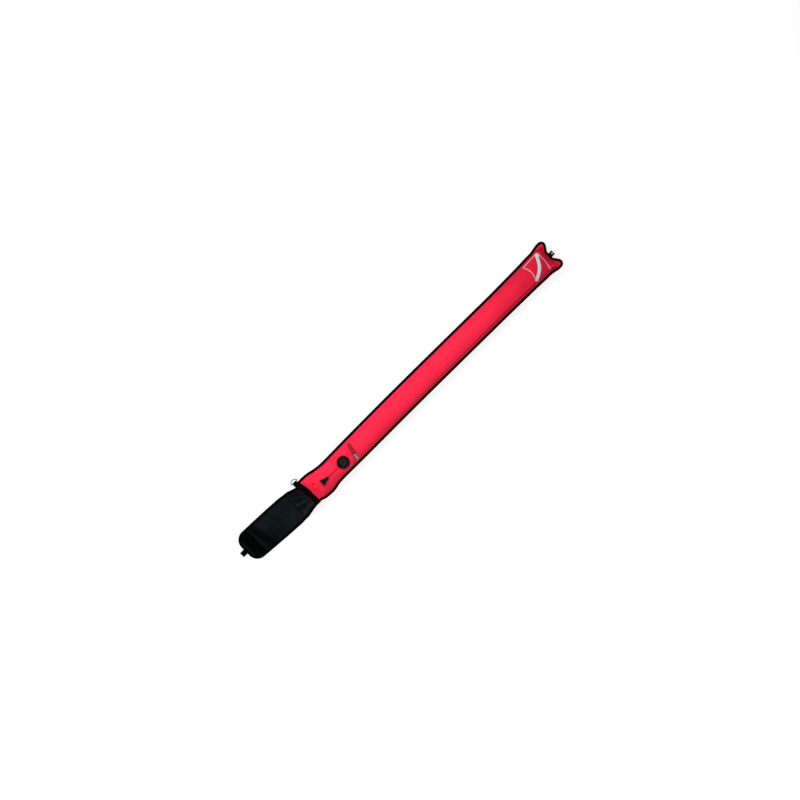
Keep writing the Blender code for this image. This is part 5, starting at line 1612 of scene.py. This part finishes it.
@dataclass
class OralTube:
    """Rubber hose that curves over the tube to a metal inflator with a sprung nipple."""

    root_x: float = -0.4445
    root_y: float = 0.0303
    end_y: float = -0.015
    turn: float = 12.0
    ball: float = 0.007
    lift: float = 0.001
    root_radius: float = 0.0067
    body: float = 0.009
    body_length: float = 0.015
    grooves: int = 4
    groove_depth: float = 0.0009
    bore_depth: float = 0.011
    neck: float = 0.0058
    neck_length: float = 0.003
    pin: float = 0.0028
    pin_room: float = 0.0004
    pin_tail: float = 0.0045
    push: float = 0.002
    nipple: float = 0.0042
    nipple_length: float = 0.0062
    collar: float = 0.0105
    collar_height: float = 0.0036
    spigot: float = 0.005
    spigot_bore: float = 0.003
    spigot_depth: float = 0.006

    def outwards(self, y: float, radius: float) -> tuple[float, Vector]:
        """Return the angle from the vertical and the place, across the tube, on a circle round it."""
        angle = asin((y - SHAPE.section(self.root_x)[0]) / radius)
        return angle, Vector((0, sin(angle), cos(angle))) * radius

    def frames(self) -> tuple[Matrix, Matrix, list[Vector]]:
        """Return the root's frame, the inflator's frame and the hose's middle line."""
        start_radius = SHAPE.radius + self.lift + self.ball
        end_radius = SHAPE.radius + self.lift + self.body
        start, origin = self.outwards(self.root_y, start_radius)
        end, _ = self.outwards(self.end_y, end_radius)

        def at(share: float) -> Vector:
            """Place along the hose in a plane across the tube."""
            angle = start + (end - start) * share
            return Vector((0, sin(angle), cos(angle))) * (
                start_radius + (end_radius - start_radius) * share) - origin

        centre = Vector((self.root_x, self.root_y, SHAPE.z_seam + start_radius * cos(start)))
        plan = Matrix.Translation(centre) @ Matrix.Rotation(radians(-self.turn), 4, 'Z')
        line = [plan @ at(k / 40) for k in range(41)]
        along = (at(1.001) - at(0.999)).normalized()
        tip = plan @ Matrix.Translation(at(1)) @ along.to_track_quat('Z', 'X').to_matrix().to_4x4()
        return Matrix.Translation(centre) @ Matrix.Rotation(-start, 4, 'X'), tip, line

    def hose(self, line: Sequence[Vector], palette: Palette) -> None:
        """Make the hose: a rounded root, moulded ribs and a flared mouth."""
        first = (line[0] - line[1]).normalized()
        path = [line[0] + first * self.root_radius * k for k in (1, 0.96, 0.85, 0.66, 0.4, 0.15)] + line[1:]
        lengths = lengths_along(path)
        swell = Curve((0, 0.1), (0.01, 0.42), (0.03, 0.72), (0.06, 0.91), (0.1, 1.01), (0.15, 1.03),
                      (0.5, 1.08), (0.8, 1.18), (0.93, 1.25), (0.97, 1.26), (1, 1.22))

        def radius(share: float) -> float:
            """Radius at a share of the path's points, from its share of the length."""
            place = share * (len(path) - 1)
            k = min(len(path) - 2, int(place))
            return self.root_radius * swell.at(
                (lengths[k] + (lengths[k + 1] - lengths[k]) * (place - k)) / lengths[-1])

        def ribs(share: float, _: float) -> float:
            """Factor of the ribs between both ends."""
            wave = (0.5 - 0.5 * cos(2 * pi * share * 9)) ** 3
            return 1 - 0.035 * wave * ease((share - 0.16) * 8) * ease((0.9 - share) * 8)

        bm = tube_along(smooth_route(path, 4), radius, 32, ribs)
        fitted("inflation_hose_rubber", bm, palette.hose_rubber, "hose", "hose_rubber", "inflation_hose",
               angle=60)

    def inflator(self, tip: Matrix, palette: Palette) -> None:
        """Make the metal body with its grip grooves, and the pin with its nipple."""
        mouth = self.body_length + self.neck_length
        bore = mouth - self.bore_depth
        hole = self.pin + self.pin_room
        wide = self.body
        body = [(hole, bore), (hole, mouth), (self.neck, mouth), (self.neck, self.body_length),
                (wide - 0.0022, self.body_length), (wide, self.body_length - 0.0022)]
        deep = wide - self.groove_depth
        for k in range(self.grooves):
            low = self.body_length * (0.66 - 0.15 * k)
            body += [(wide, low + 0.0012), (deep, low + 0.0007), (deep, low - 0.0001), (wide, low - 0.0006)]
        body += [(wide, CLEAR + 0.0011), (wide - 0.0011, CLEAR)]
        profile = [(0, bore)] + rounded(body, 0.0003, 2, closed=False) + [(0, CLEAR)]
        fitted("inflator_body_plated", spun(profile, 56, tip, closed=False), palette.chrome, "hose", "chrome",
               "inflator_body", angle=30)
        head = mouth + self.push + CLEAR
        end = head + self.nipple_length
        tail = bore + self.push + self.pin_tail + 2 * CLEAR
        groove = self.nipple - self.groove_depth
        pin = [(self.nipple - 0.0006, end), (self.nipple, end - 0.0006)]
        pin += [(wide, head + self.nipple_length * share) for wide, share in
                ((self.nipple, 0.62), (groove, 0.5), (groove, 0.34), (self.nipple, 0.22), (self.nipple, 0),
                 (self.pin, 0))]
        profile = [(0, end - 0.003), (0.0011, end - 0.003), (0.0011, end),
                   *rounded([*pin, (self.pin, tail)], 0.0003, 2, closed=False), (0, tail)]
        fitted("inflator_pin_plated", spun(profile, 48, tip, closed=False), palette.chrome, "pin", "chrome",
               "inflator_pin", angle=30)

    def socket(self, root: Matrix, palette: Palette) -> None:
        """Make the welded collar that the root turns in."""
        surface = -self.ball - self.lift
        low = surface + CLEAR
        top = low + self.collar_height
        cup = self.ball + CLEAR
        rim = sqrt(max(0, cup * cup - top * top))
        cup_line = [(sqrt(max(0, cup * cup - z * z)), z)
                    for z in (top + (-0.985 * cup - top) * k / 6 for k in range(1, 7))]
        outer = rounded([(rim + 0.0004, top), (self.collar - 0.0022, top), (self.collar, low + 0.001),
                         (self.collar, low), (self.spigot, low), (self.spigot, surface - self.spigot_depth),
                         (self.spigot_bore, surface - self.spigot_depth)], 0.0008, 3, closed=False)
        keep = [point for point in cup_line if point[0] > self.spigot_bore]
        profile = outer + [(self.spigot_bore, keep[-1][1])] + list(reversed(keep))
        fitted("hose_collar_moulding", spun(profile, 56, root), palette.seal_rubber, "tube", "red_rubber",
               "hose_collar", angle=35)

    def build(self, palette: Palette) -> None:
        """Make the hose, its collar and the inflator."""
        root, tip, line = self.frames()
        self.hose(line, palette)
        self.inflator(tip, palette)
        self.socket(root, palette)


# Stowing wrap

@dataclass
class WrapShape:
    """Edges and heights of the wrap, from the neck's tail to its rounded end."""

    top: float = -0.7221
    seam: float = -0.7821
    start: float = -0.7826
    end: float = -1.0626
    z_ground: float = 0.0015
    middle_start: float = 0.002
    skew: float = 0.0585
    top_width: float = 0.114
    seam_width: float = 0.136
    width: float = 0.141
    end_width: float = 0.135
    corner: float = 0.045

    def middle(self, x: float) -> float:
        """Return the middle line, which lies askew."""
        return self.middle_start + self.skew * max(0, self.top - x)

    def half(self, x: float) -> float:
        """Return the half width before the end is rounded."""
        if x > self.seam:
            share = ease((self.top - x) / (self.top - self.seam))
            return (self.top_width + (self.seam_width - self.top_width) * share) / 2
        share = max(0, self.start - x) / (self.start - self.end)
        wide = self.seam_width + (self.width - self.seam_width) * ease(share / 0.12)
        return (wide + (self.end_width - self.width) * ease((share - 0.3) / 0.7)) / 2

    def round_off(self, x: float) -> float:
        """Return how far the rounded end takes the edge in at a station."""
        rest = max(0, self.end + self.corner - x)
        return self.corner - sqrt(max(0, self.corner ** 2 - rest ** 2))

    def height(self, x: float) -> float:
        """Return the height of the flap that sinks from the neck to the ground."""
        return self.z_ground + (SHAPE.z_seam - self.z_ground) * (1 - ease((self.top - x) / 0.06))

    def upright(self, x: float) -> Vector:
        """Return the flap's outward direction at a station."""
        slope = (self.height(x + 0.0005) - self.height(x - 0.0005)) / 0.001
        return Vector((-slope, 0, 1)).normalized()

    def waves(self, x: float, y: float) -> float:
        """Return how far the wrap bulges off the ground."""
        u = (self.start - x) / (self.start - self.end)
        v = (y - self.middle(x)) / self.half(x)
        soft = 0.5 + 0.5 * noise.noise(Vector((x * 9, y * 11, 3)))
        broad = 0.005 * soft * ease(u * 2.5) * ease((1 - u) * 3 + 0.1)
        ridge = 0.0026 * bump(v + 0.9 * u - 0.55, 0.22) * ease(3 * u) * ease((1 - u) * 4)
        edge = 0.0012 * (0.5 + 0.5 * noise.noise(Vector((x * 22, y * 14, 8)))) * ease(4 * u)
        return (broad + ridge) * (1 - 0.75 * v * v) + edge

    def folds(self, x: float, y: float) -> float:
        """Return the gathers under the band, fanning out to the seam."""
        down = (self.top - x) / (self.top - self.seam)
        v = (y - self.middle(x)) / self.half(x)
        fade = sin(pi * clamp(down * 0.9 + 0.08))
        inside = ease((1 - abs(v)) / 0.25)
        lines = ((-0.1, -0.34, 0.085, 0.0036), (0.1, 0.3, 0.075, 0.003), (0.02, -0.02, 0.06, 0.0022),
                 (-0.3, -0.62, 0.08, 0.0028), (0.34, 0.66, 0.08, 0.0024), (-0.48, -0.72, 0.05, 0.0014))
        return fade * inside * sum(
            high * bump(v - at_top - (at_seam - at_top) * down, width * (0.7 + 0.8 * down))
            for at_top, at_seam, width, high in lines)


WRAP = WrapShape()


@dataclass
class StowingWrap:
    """Black cloth flap below the neck and the wrap sewn to it, with tape, strips and a pull tab."""

    cloth: float = 0.0008
    tape: float = 0.0011
    tape_width: float = 0.0102
    stitch_inset: float = 0.0018
    lap: float = 0.0065
    strip_width: float = 0.0485
    hook_from_end: float = 0.0182
    loop_from_seam: float = 0.02
    tab_width: float = 0.024
    tab_reach: float = 0.0202
    piping_wide: float = 0.0032
    piping_high: float = 0.001
    piping_back: float = 0.0022
    neck_bend: tuple[Pair, Pair] = ((-0.7195, 0.047), (-0.729, 0.045))     # x and z
    seam_bend: Pair = (0.005, -0.007)                                      # from the wrap's start
    hem: Curve = Curve((-0.062, -0.716), (-0.054, -0.7165), (-0.049, -0.719), (-0.04, -0.7184),
                       (-0.03, -0.7177), (-0.015, -0.7173), (-0.009, -0.7174), (-0.004, -0.7146),
                       (0.006, -0.714), (0.018, -0.7168), (0.022, -0.7198), (0.028, -0.7208),
                       (0.034, -0.7213), (0.039, -0.7213), (0.044, -0.7198), (0.064, -0.718))
    painted_patches: tuple[tuple[Pair, Pair, float, float], ...] = (      # from, to, half width, tone: painted light above 0, painted shade below
        ((-0.7359, 0.0192), (-0.7816, 0.0387), 0.0045, 0.22),
        ((-0.743, 0.012), (-0.78, 0.03), 0.004, -0.22),
        ((-0.7392, -0.0069), (-0.779, 0.0045), 0.0048, 0.42),
        ((-0.7376, -0.0151), (-0.7751, -0.0167), 0.004, -0.12),
        ((-0.7327, -0.033), (-0.78, -0.0412), 0.01, 0.4),
        ((-0.73, -0.018), (-0.7376, -0.0477), 0.0024, -0.28),
        ((-0.734, 0.028), (-0.76, 0.048), 0.01, -0.18),
        ((-0.9006, 0.073), (-0.8664, 0.0094), 0.0085, -0.26),
        ((-0.9087, 0.0518), (-0.8778, 0.0045), 0.004, 0.12),
        ((-0.9479, 0.069), (-0.9331, 0.03), 0.014, 0.14),
        ((-0.93, 0.013), (-0.935, -0.035), 0.018, -0.14),
        ((-0.9821, 0.085), (-0.9544, -0.042), 0.013, -0.4),
        ((-0.985, 0.09), (-0.979, -0.035), 0.008, -0.2),
        ((-0.994, 0.0713), (-0.9893, -0.0395), 0.003, 0.06),
        ((-0.8859, -0.0232), (-0.9185, -0.0298), 0.03, -0.16),
        ((-0.96, 0.08), (-0.97, -0.06), 0.03, -0.14),
        ((-0.8533, 0.0615), (-0.83, 0.04), 0.018, 0.08),
        ((-0.8142, -0.0036), (-0.83, -0.0265), 0.022, 0.1),
    )

    def tone(self, place: Vector) -> float:
        """Return the cloth's tone: painted light on the crests of its folds, painted shade between them."""
        total = 0.5
        for start, end, wide, painted_tone in self.painted_patches:
            a, b, p = Vector(start), Vector(end), place.xy
            share = clamp((p - a).dot(b - a) / (b - a).length_squared)
            total += painted_tone * bump((p - a.lerp(b, share)).length, wide)
        return total

    def cloth_piece(self, name: str, bm: BMesh, palette: Palette) -> tuple[Piece, float]:
        """Return a piece of black cloth with painted light and shade and its thickness, and the area of its
        sheet.
        """
        paint_light_and_shade(faced(bm), self.tone)
        area = sum(face.calc_area() for face in bm.faces)
        piece = with_wall(finished(name, bm, palette.black_nylon, 60), self.cloth, 0)
        return apply_all(piece), area

    def flap(self, palette: Palette) -> None:
        """Make the gathered flap from the neck down to the ground."""
        rows, columns = 44, 110
        bottom = WRAP.seam - 0.0004

        def place(i: int, j: int) -> Vector:
            """Place of a grid point."""
            across = 2 * j / columns - 1
            y_top = WRAP.middle_start + across * WRAP.half(WRAP.top)
            x = bottom + (self.hem.at(y_top) - bottom) * i / rows
            y = WRAP.middle(x) + across * WRAP.half(min(x, WRAP.top))
            over = ease((x - WRAP.top + 0.004) / 0.006)
            z = WRAP.height(min(x, WRAP.top)) + over * 0.002 + WRAP.folds(x, y)
            return Vector((x, y, z))

        bm = laid_grid(rows, columns, place, lambda i, j: (0.064 * i / rows, WRAP.seam_width * j / columns))
        piece, area = self.cloth_piece("neck_flap_cloth", bm, palette)
        self.at_neck(piece, "black_nylon", "gathered_panel")

    def side_tapes(self, palette: Palette) -> None:
        """Make the tapes down both sides of the flap, with their stitches."""
        over = self.cloth / 2 + CLEAR
        rows = []
        for side, node in ((-1, "panel_tape_right"), (1, "panel_tape_left")):
            xs = [WRAP.seam + 0.0009 + (WRAP.top - WRAP.seam - 0.0015) * k / 24 for k in range(25)]
            xs = xs[::-side]
            path = [Vector((x, WRAP.middle(x) + side * WRAP.half(x), WRAP.height(x))) for x in xs]
            out = [WRAP.upright(x) for x in xs]
            bm = swept(path, out, folded_tape(over, self.tape, self.tape_width, CLEAR))
            name = "flap_tape_left" if side > 0 else "flap_tape_right"
            self.at_neck(finished(name, bm, palette.black_tape, 35), "black_tape", node)
            line = []
            for k, (point, up) in enumerate(zip(path, out)):
                ahead = (path[min(24, k + 1)] - path[max(0, k - 1)]).normalized()
                line.append(point + up.cross(ahead) * (self.tape_width - self.stitch_inset)
                            + up * (over + self.tape + SEWN))
            rows.append(Thread().row(line, lambda p: WRAP.upright(p.x)))
        self.at_neck(finished("flap_stitches", joined(rows), palette.thread), "black_tape")

    def outline(self, high_end: float) -> list[Pair]:
        """Return the wrap's edge from the seam at +Y round its end to the seam at -Y."""
        straight = WRAP.end + WRAP.corner
        xs = [high_end + (straight - high_end) * k / 44 for k in range(44)]
        left, right = ([(x, WRAP.middle(x) + side * WRAP.half(x)) for x in xs] for side in (1, -1))
        low = WRAP.middle(straight) - WRAP.half(straight) + WRAP.corner
        high = WRAP.middle(straight) + WRAP.half(straight) - WRAP.corner
        end = [(WRAP.end, high + (low - high) * k / 10) for k in range(1, 10)]
        return [*left, *arc((straight, high), WRAP.corner, 90, 180, 20), *end,
                *arc((straight, low), WRAP.corner, 180, 270, 20), *reversed(right)]

    def ground(self, x: float, y: float) -> float:
        """Return the height of the wrap's cloth, its lap lying on the flap."""
        lap = ease((x - WRAP.start + 0.004) / 0.004)
        return WRAP.z_ground + WRAP.waves(x, y) + lap * 0.0011

    def on_ground(self, x: float, y: float, above: float = 0.0) -> Vector:
        """Return a place on the wrap's cloth or above it."""
        return Vector((x, y, self.ground(x, y) + above))

    def panel(self, palette: Palette) -> None:
        """Make the flat wrap's cloth, lapped over the flap at the seam."""
        rows, columns = 96, 56
        first = WRAP.start + self.lap
        dense, reached = 0.3, 0.109         # share of the rows at the round end, and of the length they take

        def place(i: int, j: int) -> Vector:
            """Place of a grid point."""
            share = i / rows
            x = WRAP.end + (first - WRAP.end) * (
                1 - cos(pi / 2 * share) if share < dense
                else share + (reached - dense) * (1 - share) / (1 - dense))
            across = 2 * j / columns - 1
            return self.on_ground(x, WRAP.middle(x) + across * (WRAP.half(x) - WRAP.round_off(x)))

        bm = laid_grid(rows, columns, place, lambda i, j: (0.287 * i / rows, WRAP.width * j / columns))
        piece, area = self.cloth_piece("wrap_cloth", bm, palette)
        self.at_seam(piece, "black_nylon", "wrap_panel")

    def at_neck(self, piece: Piece, slot: str, *nodes: str) -> None:
        """Hand a piece on to bending, with places just below the neck band."""
        start, end = (Vector((x, 0, z)) for x, z in self.neck_bend)
        bending(piece, ("tube", "neck_flap"), start, end, slot, *nodes)

    def at_seam(self, piece: Piece, slot: str, *nodes: str) -> None:
        """Hand a piece on to bending, with places at the seam between flap and wrap."""
        start, end = (Vector((WRAP.start + off, 0, 0)) for off in self.seam_bend)
        bending(piece, ("neck_flap", "wrap"), start, end, slot, *nodes)

    def edging(self, palette: Palette) -> None:
        """Make the tape round the wrap and the stitches in it and across the seam."""
        off_lap = WRAP.start - 0.004
        path = [Vector((x, y, 0)) for x, y in self.outline(WRAP.seam + 0.0005)]
        inner = self.cloth / 2 + CLEAR
        bm = swept(path, [UP] * len(path), folded_tape(inner, self.tape, self.tape_width, CLEAR))
        for vert in bm.verts:
            vert.co.z = max(LOWEST, vert.co.z + self.ground(min(vert.co.x, off_lap), vert.co.y))
        self.at_seam(finished("wrap_edge_tape", bm, palette.black_tape, 35), "black_tape", "wrap_binding")
        over = inner + self.tape + SEWN
        rows = [Thread().row([Vector((p.x, p.y, self.ground(min(p.x, off_lap), p.y) + over))
                              for p in inset_path(path, self.tape_width - self.stitch_inset)])]
        for back in (0.0015, 0.0048):
            line = self.across(WRAP.start + self.lap - back, 30, self.cloth / 2 + SEWN)
            rows.append(Thread(thickness=0.0004).row(line))
        self.at_seam(finished("wrap_stitches", joined(rows), palette.thread), "black_tape")

    def across(self, x: float, count: int, above: float) -> list[Vector]:
        """Return places above the cloth in a line across the wrap, between its edge tapes."""
        half = WRAP.half(x) - self.tape_width - 0.001
        return [self.on_ground(x, WRAP.middle(x) + half * (k / (count / 2) - 1), above)
                for k in range(count + 1)]

    def piping(self, palette: Palette) -> None:
        """Make the flat piping that covers the seam of flap and wrap."""
        path = self.across(WRAP.start - self.piping_back, 40, self.cloth / 2 + CLEAR + self.piping_high / 2)
        bm = swept(path, [UP] * len(path), strap(self.piping_wide, self.piping_high))
        self.at_seam(finished("seam_piping", bm, palette.black_tape, 50), "black_tape")

    def strip(self, near: float, thickness: float, face: float, node: str, material: Material,
              palette: Palette) -> None:
        """Make a hook or loop strip across the wrap.

        Args:
            near: Place of its edge nearer the neck.
            thickness: Thickness of the strip.
            face: 1 on the upper side of the wrap, -1 on its underside.
            node: Solid that it stands for, which gives the piece its name.
            material: Finish of its pile.
            palette: All finishes, for its thread.
        """
        rows, columns = 20, 50
        inset = self.tape_width + 0.0008
        off = face * (self.cloth / 2 + CLEAR + thickness / 2)

        def spot(u: float, v: float) -> Vector:
            """Place on the strip's middle surface."""
            x = near - self.strip_width * u
            y = WRAP.middle(x) + v * (WRAP.half(x) - WRAP.round_off(x) - inset)
            z = self.ground(x, y) + off
            return Vector((x, y, max(z, thickness / 2 + 0.0001)))

        bm = faced(laid_grid(rows, columns, lambda i, j: spot(1 - i / rows, 2 * j / columns - 1),
                             lambda i, j: (self.strip_width * i / rows, 0.12 * j / columns)))
        piece = apply_all(with_wall(finished(f"{node}_pile", bm, material, 50), thickness, 0))
        placed(piece, "wrap", "hook_and_loop", node)
        if face > 0:
            u, v = 0.06, 0.97
            corners = ((u, -v), (u, v), (1 - u, v), (1 - u, -v), (u, -v))
            line = []
            for (u0, v0), (u1, v1) in zip(corners, corners[1:]):
                steps = 12 if v0 == v1 else 24
                line += [spot(u0 + (u1 - u0) * k / steps, v0 + (v1 - v0) * k / steps) for k in range(steps)]
            row = Thread().row([p + UP * (thickness / 2 + SEWN) for p in line])
            fitted(f"{node}_pile_stitches", row, palette.thread, "wrap", "black_tape")

    def pull_tab(self, palette: Palette) -> None:
        """Make the webbing tab at the far end, folded over the tape and down to the ground."""
        y = WRAP.middle(WRAP.end + WRAP.corner)
        x_end = WRAP.end - CLEAR - self.tape
        high = self.ground(WRAP.end + 0.001, y) + self.cloth / 2 + 2 * CLEAR + self.tape
        thin = WEBBING / 2
        line = [(x_end + 0.008, high + thin), (x_end + 0.003, high + thin), (x_end - 0.0004, high + thin),
                (x_end - 0.003, 3 * thin + 0.0004), (x_end - 0.007, 3 * thin + 0.0002),
                (x_end - self.tab_reach, 3 * thin + 0.0002)]
        line += arc((x_end - self.tab_reach, 2 * thin + 0.0001), thin + 0.00004, 120, 240, 4)
        line += [(x_end - self.tab_reach, thin), (x_end - 0.007, thin), (x_end - 0.001, thin)]
        points = [Vector((x, y, z)) for x, z in line]
        bm = folded_strap(points, Vector((0, 1, 0)), self.tab_width)
        fitted("pull_tab_webbing", bm, palette.webbing, "wrap", "black_webbing", "pull_tab")

    def build(self, palette: Palette) -> None:
        """Make the flap, the wrap and what is sewn to them."""
        self.side_tapes(palette)
        self.flap(palette)
        self.edging(palette)
        self.panel(palette)
        self.piping(palette)
        self.strip(WRAP.end + self.hook_from_end + self.strip_width, 0.0016, 1, "hook_strip", palette.hook,
                   palette)
        self.strip(WRAP.start - self.loop_from_seam, 0.0008, -1, "loop_strip", palette.loop, palette)
        self.pull_tab(palette)


# Studio

@dataclass
class Studio:
    """Pale floor, soft light and the camera straight above."""

    metres_per_pixel: float = 0.00415
    pixels: int = 800
    centre: Pair = (-0.1637, 0.011)
    turn: float = 45.0               # degrees from the picture's right to the tube
    height: float = 12.0
    focus: float = 0.03
    sensor: float = 36.0
    floor: float = -0.0004

    def camera(self) -> None:
        """Put the camera above the buoy, as in the photograph."""
        data = bpy.data.cameras.new("camera")
        data.sensor_width = self.sensor
        data.lens = self.sensor * (self.height - self.focus) / (self.metres_per_pixel * self.pixels)
        data.clip_end = 60
        eye = linked("camera", data)
        eye.location = (*self.centre, self.height)
        eye.rotation_euler = (0, 0, -radians(self.turn))
        bpy.context.scene.camera = eye

    def lamp(self, name: str, place: Vector, size: float, power: float) -> None:
        """Add a square soft light that looks at the buoy."""
        data = bpy.data.lights.new(name, 'AREA')
        data.size = size
        data.energy = power
        lamp = linked(name, data)
        lamp.location = place
        lamp.rotation_euler = (Vector((*self.centre, 0)) - place).to_track_quat('-Z', 'Y').to_euler()

    def ground(self) -> None:
        """Lay the floor, white to the eye, with the buoy's shadow on it."""
        bm = bmesh.new()
        bmesh.ops.create_grid(bm, x_segments=1, y_segments=1, size=9.0)
        bmesh.ops.translate(bm, vec=UP * self.floor, verts=bm.verts)
        material = bpy.data.materials.new("studio_floor")
        material.use_nodes = True
        sheet = NodeSheet(material.node_tree)
        path = sheet.add("LightPath").outputs
        seen = sheet.math('MAXIMUM', path["Is Camera Ray"], path["Is Glossy Ray"])
        seen = sheet.math('MAXIMUM', seen, path["Is Transmission Ray"])
        shader = material.node_tree.nodes["Principled BSDF"]
        looks = {"Base Color": (0.34, 0.34, 0.34, 1), "Roughness": 0.9, "Specular IOR Level": 0,
                 "Emission Color": (1, 1, 1, 1), "Emission Strength": sheet.math('MULTIPLY', seen, 0.74)}
        for name, value in looks.items():
            sheet.feed(shader.inputs[name], value)
        finished("studio_floor", bm, material)

    def world(self) -> None:
        """Fill the room with even light and show it white."""
        room = bpy.data.worlds.new("studio")
        room.use_nodes = True
        bpy.context.scene.world = room
        sheet = NodeSheet(room.node_tree)
        seen = sheet.add("LightPath").outputs["Is Camera Ray"]
        strength = sheet.add("MapRange", {"Value": seen, "To Min": 0.52, "To Max": 1}).outputs["Result"]
        background = room.node_tree.nodes["Background"]
        background.inputs["Color"].default_value = (1, 1, 1, 1)
        sheet.feed(background.inputs["Strength"], strength)

    def build(self) -> None:
        """Set up the view."""
        bpy.context.scene.view_settings.view_transform = 'Standard'
        self.camera()
        self.world()
        self.ground()
        self.lamp("key_light", Vector((-0.35, 1.3, 1.7)), 1.6, 37)
        self.lamp("fill_light", Vector((-0.6, -2, 2.8)), 2, 25)


def main() -> None:
    """Build the buoy's looks round its frame."""
    logging.basicConfig(level=logging.INFO, format="%(message)s")
    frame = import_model()
    Studio().build()
    palette = Palette()
    for part in (PullLine(), InflatedTube(), NeckBand(), TopTab(), SideRing()):
        part.build(palette)
    DumpValve().build(palette, frame)
    OralTube().build(palette)
    StowingWrap().build(palette)


if __name__ == "__main__":
    main()
